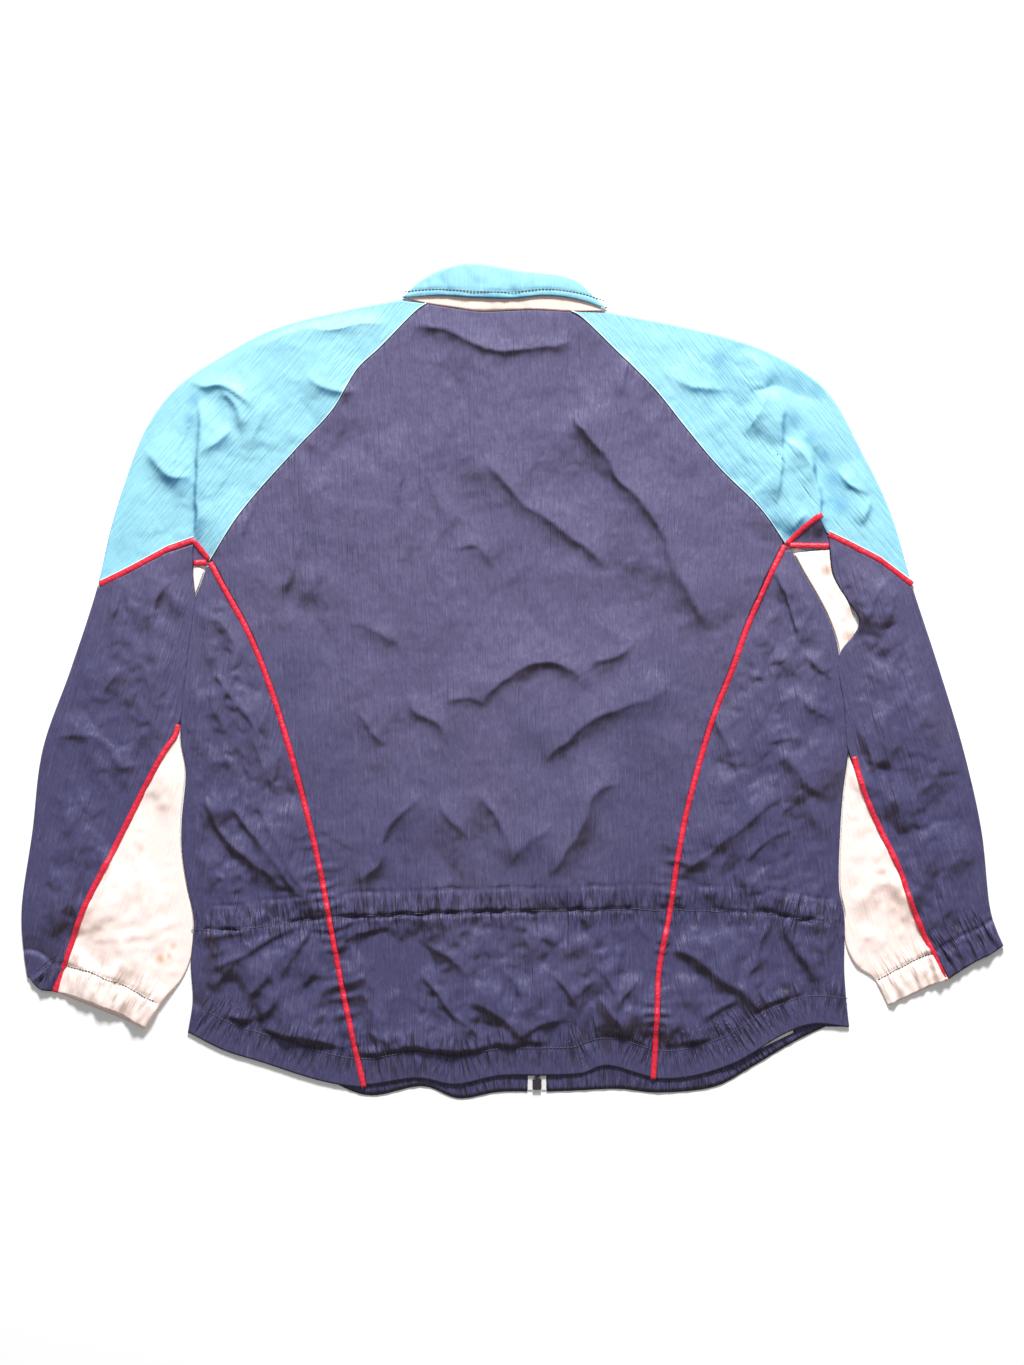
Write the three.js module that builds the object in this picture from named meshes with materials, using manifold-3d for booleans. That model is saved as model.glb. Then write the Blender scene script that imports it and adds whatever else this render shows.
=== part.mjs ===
// Windbreaker jacket laid flat on its front, so that its back shows.
// Millimetres, +Z up, +Y towards the collar. The origin is the middle of what it rests on.
import * as THREE from 'three';
import { mergeVertices } from 'three/addons/utils/BufferGeometryUtils.js';
import Module from 'manifold-3d';

// Cloth and seams
const cloth = 1.2;
const seamGap = 0.3;
const pipingWidth = 6;
const pipingHeight = 2.2;
const frontLevel = cloth / 2;
const backLevel = frontLevel + cloth + seamGap;
const turnRadius = (backLevel - frontLevel) / 2;
const edgeInset = cloth / 2 + turnRadius;
const edgeGap = 0.5;
const turnSteps = [60, 120];

// Making up
const bodyPuff = 3.4;
const puffReach = 26;
const casingHeight = 28;
const waistLevel = -222;
const waistBand = 28;
const waistPucker = 1.5;
const hemPucker = 1.4;
const cuffPucker = 1.5;
const stitchSink = 1.2;

// Zip, closed up to the top of the collar stand
const zipX = 25;
const chainWidth = 5.8;
const chainThickness = 2.2;
const tapeHalf = 9;
const zipTop = 346;
const zipBottom = -407;
const boxLength = 10;
const plateLength = 17.4;
const slider = { width: 8.6, length: 11, thickness: 3.4, underside: 3.6, plate: 0.8, web: 1.6, lip: 0.6 };
const bail = { y: zipTop + 5.5, z: 1.8, pin: 0.6, postWidth: 1.2, postLength: 2.4, inside: 5 };
const tab = { width: 4.4, length: 24, thickness: 1.1, underside: 0.35, eye: 1.6, hole: 0.9 };

// Colours
const navy = 0x5a5478;
const sky = 0x86d0e6;
const red = 0xe4203f;
const cream = 0xf7e6de;
const metal = 0x8c8a88;

// Plan of the seams and edges, each from the collar end down to the hem or cuff
const seams = {
  sleeveOuterLeft: [[-109, 383], [-163, 373], [-239, 353], [-290, 326], [-337, 293], [-366, 253], [-389, 193],
    [-401, 153], [-415, 93], [-441, 13], [-469, -67], [-479, -147], [-490, -227], [-488, -268], [-484, -295]],
  sleeveOuterRight: [[94, 371], [113, 367], [173, 355], [250, 333], [313, 293], [348, 233], [377, 173], [400, 96],
    [427, 13], [451, -67], [469, -147], [478, -227], [484, -247], [491, -263]],
  raglanLeft: [[-85, 378], [-93, 373], [-133, 333], [-154, 313], [-178, 273], [-215, 233], [-268, 173], [-302, 121]],
  raglanRight: [[59, 370], [66, 367], [102, 333], [142, 293], [174, 253], [208, 213], [248, 173], [273, 138]],
  princessLeft: [[-302, 121], [-287, 93], [-265, 53], [-248, 13], [-228, -47], [-211, -107], [-196, -167],
    [-184, -227], [-173, -287], [-161, -347], [-148, -404]],
  princessRight: [[273, 138], [251, 93], [234, 53], [220, 13], [204, -27], [191, -67], [175, -127], [167, -167],
    [158, -227], [147, -287], [145, -327], [143, -367], [141, -396]],
  bodyLeft: [[-303, 122], [-311, 99], [-317, 83], [-323, 43], [-330, -17], [-331, -57], [-326, -87], [-330, -137],
    [-330, -165], [-325, -201], [-318, -236], [-321, -279], [-319, -317], [-324, -350]],
  bodyRight: [[276, 138], [291, 110], [305, 86], [317, 62], [325, 38], [329, 10], [333, -25], [336, -66],
    [331, -107], [328, -147], [327, -207], [332, -232], [332, -287], [335, -327], [337, -344]],
  gussetLeft: [[-318, 123], [-320.5, 83], [-327.5, 43], [-334.5, -17], [-335.5, -50], [-346, -67], [-368, -107],
    [-388, -147], [-408, -187], [-428, -227], [-442, -267], [-449, -287], [-457, -309]],
  gussetRight: [[317, 140], [317.5, 128], [321, 106], [335, 82], [342, 60], [341, 42], [337, 20], [338, -8], [340, -40], [342, -74],
    [351, -107], [368, -147], [387, -187], [401, -227], [419, -267], [431, -287], [436, -296]],
  sideSeamLeft: [[-290, 104], [-302, -120], [-302, -350]],
  sideSeamRight: [[276, 122], [309, -110], [314, -344]],
  cuffInnerLeft: [[-321, -237], [-322, -270], [-331, -294], [-350, -317], [-368, -345]],
  cuffInnerRight: [[333.8, -237], [336.5, -264], [347, -283], [363, -294], [378, -322]],
  hemBack: [[-324, -350], [-288, -368], [-252, -379], [-190, -398], [-148, -404], [-93, -397], [-57, -403],
    [-12, -394], [35, -393], [70, -391], [93, -383], [141, -395], [176, -394], [222, -380], [273, -350],
    [300, -341], [337, -344]],
  hemFront: [[-324, -352], [-252, -381], [-190, -402], [-144, -418], [-88, -407], [-54, -418], [-12, -410],
    [60, -409], [108, -409], [144, -414], [204, -410], [240, -392], [288, -366], [337, -346]],
  neckBack: [[-85, 378], [-59, 373.5], [-34, 370.5], [21, 371.5], [59, 370]],
  neckFront: [[-107, 384], [-85, 378.4], [-66, 350], [-32, 322], [zipX, 312], [44, 334], [54, 358], [59, 370.9],
    [76, 371.8], [93, 372]],
  pipingLeft: [[-412, 98], [-381, 113], [-344, 133], [-318, 142], [-304.5, 125], [-303, 123]],
  pipingRight: [[274, 138], [278, 142], [290, 154], [309, 168], [316, 148], [337, 138], [368, 122], [400, 98]],
  cuffLeft: [[-484, -295], [-474, -306], [-457, -309], [-440, -313], [-410, -324], [-395, -330], [-368, -345]],
  cuffRight: [[378, -322], [403, -309], [418, -301], [435, -294], [460, -279], [482, -269], [491, -263]],
  collarFallLow: [[-106, 384.6], [-71, 386], [-40, 384], [0, 383], [33, 386], [67, 382], [92, 374]],
  collarTop: [[-108, 385.4], [-94, 399], [-71, 412], [-40, 418.5], [9, 411], [50, 406], [67, 399], [79, 388],
    [93, 375]],
  collarStandLow: [[-105, 383.8], [-85, 378.6], [-59, 374.1], [-34, 371.1], [21, 372.1], [59, 370.6], [93, 371.6]],
};

// The largest folds: crest height, width of the steep side (on the right when walking along the path),
// width of the gentle side, and the path of the steep side in plan
const folds = [
  { height: 4.5, steep: 9, gentle: 16, path: [[-110, 351], [-67, 346], [-33, 331], [-4, 326], [36, 328], [68, 336]] },
  { height: 6, steep: 10, gentle: 22, path: [[56, 254], [82, 228], [105, 194], [134, 165], [157, 107], [188, 53]] },
  { height: 5, steep: 9, gentle: 18, path: [[-41, 222], [-13, 196], [10, 171], [56, 139], [91, 105]] },
  { height: 2.5, steep: 8, gentle: 14, path: [[-90, 268], [-87, 222], [-82, 188], [-59, 153]] },
  { height: 5, steep: 9, gentle: 18, path: [[-31, -30], [-3, -1], [16, 10], [39, 16], [58, 5], [67, -14]] },
  { height: 4, steep: 9, gentle: 16, path: [[74, 15], [99, 18], [134, 40]] },
  { height: 6, steep: 9, gentle: 20, path: [[39, -81], [71, -52], [90, -40], [141, -24], [170, -1]] },
  { height: 6, steep: 9, gentle: 20, path: [[39, -196], [61, -173], [77, -142], [93, -113], [115, -103]] },
  { height: 6, steep: 9, gentle: 18, path: [[-152, -205], [-127, -183], [-124, -158], [-108, -138], [-86, -115]] },
  { height: 5, steep: 8, gentle: 16, path: [[-82, -113], [-73, -132], [-57, -151], [-41, -161]] },
  { height: 5, steep: 8, gentle: 15, path: [[-38, -113], [-15, -145], [-6, -173], [0, -186]] },
  { height: 4, steep: 8, gentle: 14, path: [[0, -186], [16, -167], [48, -151]] },
  { height: 3.5, steep: 8, gentle: 14, path: [[-108, -1], [-102, -30], [-82, -43], [-63, -68]] },
  { height: 3.5, steep: 8, gentle: 13, path: [[-159, -30], [-143, -56], [-127, -68]] },
  { height: -2.5, steep: 12, gentle: 12, path: [[-209, 222], [-206, 123], [-213, 80]] },
  { height: 3, steep: 8, gentle: 16, path: [[-302, -49], [-280, -14], [-264, 30]] },
  { height: 6, steep: 10, gentle: 20, path: [[-309, -119], [-293, -158], [-264, -183], [-232, -215]] },
  { height: 5, steep: 7, gentle: 14, path: [[-99, -293], [-79, -311], [-64, -331], [-31, -361]] },
  { height: 5, steep: 7, gentle: 13, path: [[-46, -323], [-13, -338], [12, -363]] },
  { height: 5, steep: 7, gentle: 13, path: [[85, -320], [104, -343], [115, -361]] },
  { height: 6.5, steep: 9, gentle: 18, path: [[166, -271], [191, -288], [231, -316], [244, -331]] },
  { height: 6, steep: 8, gentle: 15, path: [[-253, -344], [-237, -324], [-224, -305]] },
  { height: 5, steep: 8, gentle: 14, path: [[-232, -309], [-216, -276], [-200, -254], [-194, -233]] },
  { height: 5, steep: 8, gentle: 15, path: [[237, -298], [246, -275], [249, -260], [262, -238]] },
  { height: 5, steep: 8, gentle: 16, path: [[264, -233], [274, -260], [305, -305]] },
  { height: 4, steep: 8, gentle: 16, path: [[-328, 296], [-287, 290], [-259, 271]] },
  { height: 3.5, steep: 8, gentle: 15, path: [[-312, 229], [-275, 255], [-259, 271]] },
  { height: 4, steep: 11, gentle: 18, path: [[-291, 298], [-245, 326], [-222, 344], [-131, 353]] },
  { height: 3, steep: 7, gentle: 15, path: [[-313, 259], [-316, 200], [-315, 143]] },
  { height: 5, steep: 10, gentle: 18, path: [[267, 322], [317, 291]] },
  { height: 4, steep: 8, gentle: 16, path: [[265, 295], [269, 251], [272, 230], [269, 161]] },
  { height: 4, steep: 8, gentle: 28, path: [[300, 223], [304, 183], [315, 150], [319, 105], [337, 83], [347, 60]] },
  { height: 4.5, steep: 9, gentle: 18, path: [[-465, -64], [-415, -61], [-390, -93], [-365, -83]] },
  { height: 3.5, steep: 8, gentle: 15, path: [[-446, -96], [-421, -146]] },
  { height: 3.5, steep: 8, gentle: 15, path: [[393, -6], [396, -124], [407, -192]] },
  { height: 3, steep: 9, gentle: 16, path: [[-383, -149], [-377, -196], [-355, -264]] },
];

// What lies under the back and lifts it: middle, half size and the level the back's cloth keeps there
const props = [
  { x: 0, y: 345, halfX: 105, halfY: 45, level: 3.9 },
  { x: zipX, y: 320, halfX: 14, halfY: 42, level: 8.1 },
  { x: zipX, y: -30, halfX: 12, halfY: 400, level: 3.7 },
  { x: 258, y: -356, halfX: 32, halfY: 20, level: 4.7 },
];

const lerp = THREE.MathUtils.lerp;
const smoothstep = THREE.MathUtils.smoothstep;

function smoothLine(points) {
  const line = new THREE.CatmullRomCurve3(points.map(([x, y]) => new THREE.Vector3(x, y, 0)), false, 'centripetal');
  line.arcLengthDivisions = 600;
  return line;
}

const lines = Object.fromEntries(Object.entries(seams).map(([name, points]) => [name, smoothLine(points)]));

// Place along a line, with the plan normal that points to +X where the line runs down
function placeOn(line, u, offset = 0) {
  const point = line.getPointAt(u);
  const along = line.getTangentAt(u);
  const size = Math.hypot(along.x, along.y);
  const side = { x: -along.y / size, y: along.x / size };
  return { x: point.x + side.x * offset, y: point.y + side.y * offset, side };
}

function shareAtY(line, y) {
  let low = 0;
  let high = 1;
  for (let step = 0; step < 40; step++) {
    const middle = (low + high) / 2;
    if (line.getPointAt(middle).y > y) low = middle;
    else high = middle;
  }
  return (low + high) / 2;
}

// Rail of a panel: the stretch of a seam between two heights, moved sideways by offset
function rail(line, fromY, toY, offset = 0) {
  const start = fromY === null ? 0 : shareAtY(line, fromY);
  const end = toY === null ? 1 : shareAtY(line, toY);
  return (u) => placeOn(line, lerp(start, end, u), offset);
}

function straight(from, to) {
  return (u) => ({ x: lerp(from[0], to[0], u), y: lerp(from[1], to[1], u), side: { x: 1, y: 0 } });
}

// Distance from a plan point to a run of straight pieces, positive on the left of its direction
function signedDistance(points, x, y) {
  let best = Infinity;
  let sign = 1;
  for (let i = 0; i + 1 < points.length; i++) {
    const [ax, ay] = points[i];
    const dx = points[i + 1][0] - ax;
    const dy = points[i + 1][1] - ay;
    const share = THREE.MathUtils.clamp(((x - ax) * dx + (y - ay) * dy) / (dx * dx + dy * dy), 0, 1);
    const distance = Math.hypot(x - ax - dx * share, y - ay - dy * share);
    if (distance < best) {
      best = distance;
      sign = dx * (y - ay) - dy * (x - ax) >= 0 ? 1 : -1;
    }
  }
  return best * sign;
}

const heldEdges = ['sleeveOuterLeft', 'sleeveOuterRight', 'bodyLeft', 'bodyRight']
  .map((name) => lines[name].getPoints(48).map((point) => [point.x, point.y]));
const hemLine = lines.hemBack.getPoints(48).map((point) => [point.x, point.y]);

function foldHeight(fold, x, y) {
  const across = signedDistance(fold.path, x, y) - 0.7 * fold.steep;
  const width = across > 0 ? fold.gentle : fold.steep;
  return fold.height * Math.exp(-((across / width) ** 2));
}

function propLevel(prop, x, y) {
  const ease = 22;
  const inX = 1 - smoothstep(Math.abs(x - prop.x), prop.halfX, prop.halfX + ease);
  const inY = 1 - smoothstep(Math.abs(y - prop.y), prop.halfY, prop.halfY + ease);
  return backLevel + (prop.level - backLevel) * inX * inY;
}

// Middle of the upper layer's cloth over a plan point
function backHeight(x, y) {
  const edge = Math.min(...heldEdges.map((points) => Math.abs(signedDistance(points, x, y))));
  const fromEdge = 1 - Math.exp(-Math.max(0, edge - edgeInset) / puffReach);
  const fromHem = Math.abs(signedDistance(hemLine, x, y));
  const open = 0.4 + 0.6 * (1 - Math.exp(-fromHem / 60));
  const waist = stitchSink * Math.exp(-(((y - waistLevel) / 7) ** 2)) * (Math.abs(x) < 335 ? 1 : 0);
  const casing = stitchSink * Math.exp(-(((fromHem - casingHeight) / 5) ** 2)) * (Math.abs(x) < 330 ? 1 : 0);
  const raised = folds.reduce((sum, fold) => sum + foldHeight(fold, x, y), 0);
  const free = backLevel + (bodyPuff * open + raised) * fromEdge - waist - casing;
  return Math.max(backLevel, free, ...props.map((prop) => propLevel(prop, x, y)));
}

function frontHeight(x, y) {
  const neck = Math.abs(signedDistance(seams.neckFront, x, y));
  return frontLevel + (cloth + seamGap) * (1 - smoothstep(neck, 2, 18));
}

function slopeNormal(height, x, y) {
  const step = 2;
  const dx = (height(x + step, y) - height(x - step, y)) / (2 * step);
  const dy = (height(x, y + step) - height(x, y - step)) / (2 * step);
  return new THREE.Vector3(-dx, -dy, 1).normalize();
}

// Row of a panel from its left rail to its right rail, with the turned-under part where it has one.
// A stretch names its rails and its columns at both ends. Its top and bottom edges are followed exactly,
// a bow is the shape of an edge between the ends that the rails give, and crowding draws the top row's
// columns to the left.
function panelRow(stretch, u, panel) {
  const left = stretch.left(u);
  const right = stretch.right(u);
  const columns = Math.max(1, Math.round(lerp(stretch.columns[0], stretch.columns[1], u)));
  const pucker = stretch.pucker ? stretch.pucker(u) : 0;
  const edges = [[stretch.top, 1 - u, 0], [stretch.bottom, u, 1]].filter(([edge]) => edge);
  const bows = [[stretch.topBow, 1 - u], [stretch.bottomBow, u]].filter(([bow]) => bow);
  const row = [];
  for (let column = 0; column <= columns; column++) {
    const s = column / columns;
    const across = lerp(s ** (stretch.crowding ?? 1), s, u);
    let x = lerp(left.x, right.x, across);
    let y = lerp(left.y, right.y, across);
    for (const [edge, weight, end] of edges) {
      const shape = edge(s);
      const from = stretch.left(end);
      const to = stretch.right(end);
      x += weight * (shape.x - lerp(from.x, to.x, s));
      y += weight * (shape.y - lerp(from.y, to.y, s));
    }
    for (const [bow, weight] of bows) {
      const shape = bow(s);
      x += weight * (shape.x - lerp(bow(0).x, bow(1).x, s));
      y += weight * (shape.y - lerp(bow(0).y, bow(1).y, s));
    }
    const inner = column > 0 && column < columns;
    const wave = inner ? pucker * (column % 2 ? 1 : -0.4) : 0;
    const z = Math.max(panel.height(x, y) + wave, panel.lowest ?? frontLevel);
    const normal = slopeNormal(panel.height, x, y).multiplyScalar(panel.face ?? 1);
    row.push({ s, point: new THREE.Vector3(x, y, z), normal });
  }
  if (!panel.turned) return row;
  const atLeft = panel.turned === 'left';
  const edge = atLeft ? left : right;
  const out = atLeft ? -1 : 1;
  const top = atLeft ? row[0].point : row[row.length - 1].point;
  const radius = (top.z - frontLevel) / 2;
  const under = stretch.under(u);
  const turned = turnSteps.map((degrees, step) => {
    const angle = THREE.MathUtils.degToRad(degrees);
    const reach = turnRadius * Math.sin(angle) * out;
    const normal = new THREE.Vector3(
      Math.sin(angle) * out * edge.side.x, Math.sin(angle) * out * edge.side.y, Math.cos(angle));
    const point = new THREE.Vector3(
      top.x + edge.side.x * reach, top.y + edge.side.y * reach, frontLevel + radius * (1 + Math.cos(angle)));
    return { s: 1 + (step + 1) / (turnSteps.length + 1), point, normal };
  });
  for (let column = 0; column <= panel.underColumns; column++) {
    const s = column / panel.underColumns;
    const point = new THREE.Vector3(lerp(top.x, under.x, s), lerp(top.y, under.y, s), frontLevel);
    turned.push({ s: 2 + s, point, normal: new THREE.Vector3(0, 0, -1) });
  }
  if (!atLeft) return row.concat(turned);
  const mirrored = turned.reverse().map((vertex) => ({ ...vertex, s: 1 - vertex.s }));
  return mirrored.concat(row);
}

// Triangles between two rows that may have different numbers of points
function stitchRows(a, b, startA, startB, faces) {
  let i = 0;
  let j = 0;
  while (i < a.length - 1 || j < b.length - 1) {
    const nextA = i < a.length - 1 ? a[i + 1].s : Infinity;
    const nextB = j < b.length - 1 ? b[j + 1].s : Infinity;
    if (nextA <= nextB) faces.push([startA + i, startB + j, startA + ++i]);
    else faces.push([startA + i, startB + j, startB + ++j]);
  }
}

// Closed wall of the given thickness around rows of points
function wall(rows, thickness) {
  const starts = [];
  let count = 0;
  for (const row of rows) {
    starts.push(count);
    count += row.length;
  }
  const faces = [];
  for (let i = 0; i + 1 < rows.length; i++) stitchRows(rows[i], rows[i + 1], starts[i], starts[i + 1], faces);
  const vertices = rows.flat();
  const positions = [1, -1].flatMap((side) => vertices.flatMap(({ point, normal }) =>
    point.clone().addScaledVector(normal, side * thickness / 2).toArray()));
  const lastRow = rows.length - 1;
  const ring = [
    ...rows[0].map((_, i) => i),
    ...rows.slice(1).map((row, i) => starts[i + 1] + row.length - 1),
    ...rows[lastRow].map((_, i) => starts[lastRow] + i).reverse().slice(1),
    ...starts.slice(1, lastRow).reverse(),
  ];
  const index = faces.flatMap(([a, b, c]) => [a, b, c, a + count, c + count, b + count]);
  ring.forEach((from, i) => {
    const to = ring[(i + 1) % ring.length];
    index.push(from, to, from + count, to, to + count, from + count);
  });
  return closedGeometry(positions, index);
}

// Geometry from points and faces, turned so that its faces point outwards
function closedGeometry(positions, index) {
  let volume = 0;
  const at = (i) => new THREE.Vector3(positions[3 * i], positions[3 * i + 1], positions[3 * i + 2]);
  for (let i = 0; i < index.length; i += 3) {
    volume += at(index[i]).dot(at(index[i + 1]).cross(at(index[i + 2])));
  }
  const facing = volume > 0 ? index : index.slice().reverse();
  const geometry = new THREE.BufferGeometry();
  geometry.setAttribute('position', new THREE.Float32BufferAttribute(positions, 3));
  geometry.setIndex(facing);
  geometry.computeVertexNormals();
  return geometry;
}

const jacket = new THREE.Group();

function addPiece(name, geometry, color, roughness = 0.5, metalness = 0) {
  const piece = new THREE.Mesh(geometry, new THREE.MeshStandardMaterial({ color, roughness, metalness }));
  piece.name = name;
  jacket.add(piece);
}

function addPanel(name, color, panel) {
  const rows = panel.stretches.flatMap((stretch, index) => {
    const last = index === panel.stretches.length - 1 || stretch.keepEnd;
    const steps = Array.from({ length: stretch.rows + (last ? 1 : 0) }, (_, k) => k / stretch.rows);
    return steps.map((u) => panelRow(stretch, u, panel));
  });
  addPiece(name, wall(rows, cloth), color);
}

// The back: one centre panel between the two curved piped seams, and a side panel beyond each
const waistTop = waistLevel + waistBand;
const waistLow = waistLevel - waistBand;
const pipedEdge = pipingWidth / 2 + 1.5 * seamGap;
const hemCasing = (share) => (s) => {
  const place = placeOn(lines.hemBack, share(s));
  return { x: place.x, y: place.y + casingHeight };
};
const hemEdge = (share) => (s) => placeOn(lines.hemBack, share(s));

function shareAtX(line, x) {
  let low = 0;
  let high = 1;
  for (let step = 0; step < 40; step++) {
    const middle = (low + high) / 2;
    if (line.getPointAt(middle).x < x) low = middle;
    else high = middle;
  }
  return (low + high) / 2;
}

function hemShares(fromX, toX, line = lines.hemBack) {
  const from = shareAtX(line, fromX);
  const to = shareAtX(line, toX);
  return (s) => lerp(from, to, s);
}

// Body panel below the underarm: plain to the waist, puckered channel, plain, puckered hem casing
function bodyStretches(left, right, tops, ends, widths, shares, under) {
  const rails = (from, to, toLeft, toRight) => ({
    left: rail(left.line, from[0], toLeft, left.offset),
    right: rail(right.line, from[1], toRight, right.offset),
  });
  const casingY = [ends[0] + casingHeight, ends[1] + casingHeight];
  const steps = [
    { from: tops, to: [waistTop, waistTop], rows: 14, columns: [widths[0], widths[1]] },
    { from: [waistTop, waistTop], to: [waistLow, waistLow], rows: 4, columns: [widths[2], widths[2]],
      pucker: (u) => waistPucker * Math.sin(Math.PI * lerp(0.1, 0.9, u)) },
    { from: [waistLow, waistLow], to: casingY, rows: 5, columns: [widths[1], widths[1]],
      bottomBow: hemCasing(shares) },
    { from: casingY, to: [null, null], rows: 2, columns: [widths[3], widths[3]], pucker: () => hemPucker,
      topBow: hemCasing(shares), bottomBow: hemEdge(shares) },
  ];
  return steps.map((step) => ({
    ...step, ...rails(step.from, step.to, step.to[0], step.to[1]),
    under: under ? rail(under.line, step.from[under.end], step.to[under.end], under.offset) : undefined,
  }));
}

const piped = {
  left: { line: lines.princessLeft, offset: pipedEdge },
  right: { line: lines.princessRight, offset: -pipedEdge },
};
addPanel('back_centre', navy, {
  height: backHeight,
  lowest: backLevel,
  stretches: [
    {
      left: rail(lines.raglanLeft, null, null, seamGap),
      right: rail(lines.raglanRight, null, null, -seamGap),
      top: (s) => {
        const place = placeOn(lines.neckBack, s);
        return { x: place.x, y: place.y - seamGap };
      },
      rows: 13,
      columns: [7, 26],
    },
    ...bodyStretches(piped.left, piped.right, [118, 134], [-404, -396], [26, 17, 36, 30],
      hemShares(-145, 138)),
  ],
});

const sideEdges = {
  left: { line: lines.bodyLeft, offset: edgeInset + edgeGap },
  right: { line: lines.bodyRight, offset: -edgeInset - edgeGap },
};
addPanel('back_side_left', navy, {
  height: backHeight,
  lowest: backLevel,
  turned: 'left',
  underColumns: 1,
  stretches: bodyStretches(sideEdges.left, { line: lines.princessLeft, offset: -pipedEdge }, [104, 108],
    [-350, -404], [2, 7, 14, 16], hemShares(-322, -151),
    { line: lines.sideSeamLeft, end: 0, offset: 0 }),
});
addPanel('back_side_right', navy, {
  height: backHeight,
  lowest: backLevel,
  turned: 'right',
  underColumns: 1,
  stretches: bodyStretches({ line: lines.princessRight, offset: pipedEdge }, sideEdges.right, [122, 122],
    [-396, -344], [2, 9, 18, 18], hemShares(144, 335),
    { line: lines.sideSeamRight, end: 1, offset: 0 }),
});

// Lines across the sleeves where yoke and lower sleeve meet: straight pieces with mitred corners
function mitred(points, offset) {
  const normals = points.slice(1).map(([x, y], i) => {
    const size = Math.hypot(x - points[i][0], y - points[i][1]);
    return [-(y - points[i][1]) / size, (x - points[i][0]) / size];
  });
  return points.map(([x, y], i) => {
    const before = normals[Math.max(0, i - 1)];
    const after = normals[Math.min(normals.length - 1, i)];
    const share = 1 + before[0] * after[0] + before[1] * after[1];
    return [x + offset * (before[0] + after[0]) / share, y + offset * (before[1] + after[1]) / share];
  });
}

// Edge with the same share of s between each two corners
function cornered(points, offset) {
  const corners = mitred(points, offset);
  return (s) => {
    const place = Math.min(s * (corners.length - 1), corners.length - 1 - 1e-9);
    const i = Math.floor(place);
    const [a, b] = [corners[i], corners[i + 1]];
    return { x: lerp(a[0], b[0], place - i), y: lerp(a[1], b[1], place - i) };
  };
}

function fixed(line, y, offset) {
  const place = placeOn(line, shareAtY(line, y), offset);
  return () => place;
}

// Sleeves: a sky-blue raglan yoke over the shoulder and a navy lower sleeve, both turned round the
// outer edge, and a cream gusset turned round the inner edge, which runs from the underarm to the cuff
const sleeves = {
  left: {
    outer: lines.sleeveOuterLeft, seam: lines.raglanLeft, gusset: lines.gussetLeft, body: lines.bodyLeft,
    inner: lines.cuffInnerLeft, cuff: lines.cuffLeft, piping: seams.pipingLeft, into: 1, yokeColumns: [3, 10],
    sleevePiping: seams.pipingLeft.slice(0, -1), sleeveColumns: [8, 6], pipingEnd: 98, tail: [-307, 122.8],
    gussetStart: 122.6, gussetTop: 115.9, underStart: 112, apex: -60, cuffSeam: -457, cuffStart: -268,
    outerX: -484, innerX: -368, seamCasing: -285, innerCasing: -320, gussetUnder: 115.9, crowding: 1,
  },
  right: {
    outer: lines.sleeveOuterRight, seam: lines.raglanRight, gusset: lines.gussetRight, body: lines.bodyRight,
    inner: lines.cuffInnerRight, cuff: lines.cuffRight, piping: seams.pipingRight, into: -1, yokeColumns: [2, 7],
    sleevePiping: seams.pipingRight.slice(1), sleeveColumns: [6, 6], pipingEnd: 98, tail: [280.4, 139.9],
    gussetStart: 139.9, gussetTop: 132, underStart: 115, apex: -84, cuffSeam: 435, cuffStart: -240,
    outerX: 491, innerX: 378, seamCasing: -274, innerCasing: -297, gussetUnder: 116, crowding: 4,
  },
};

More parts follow.
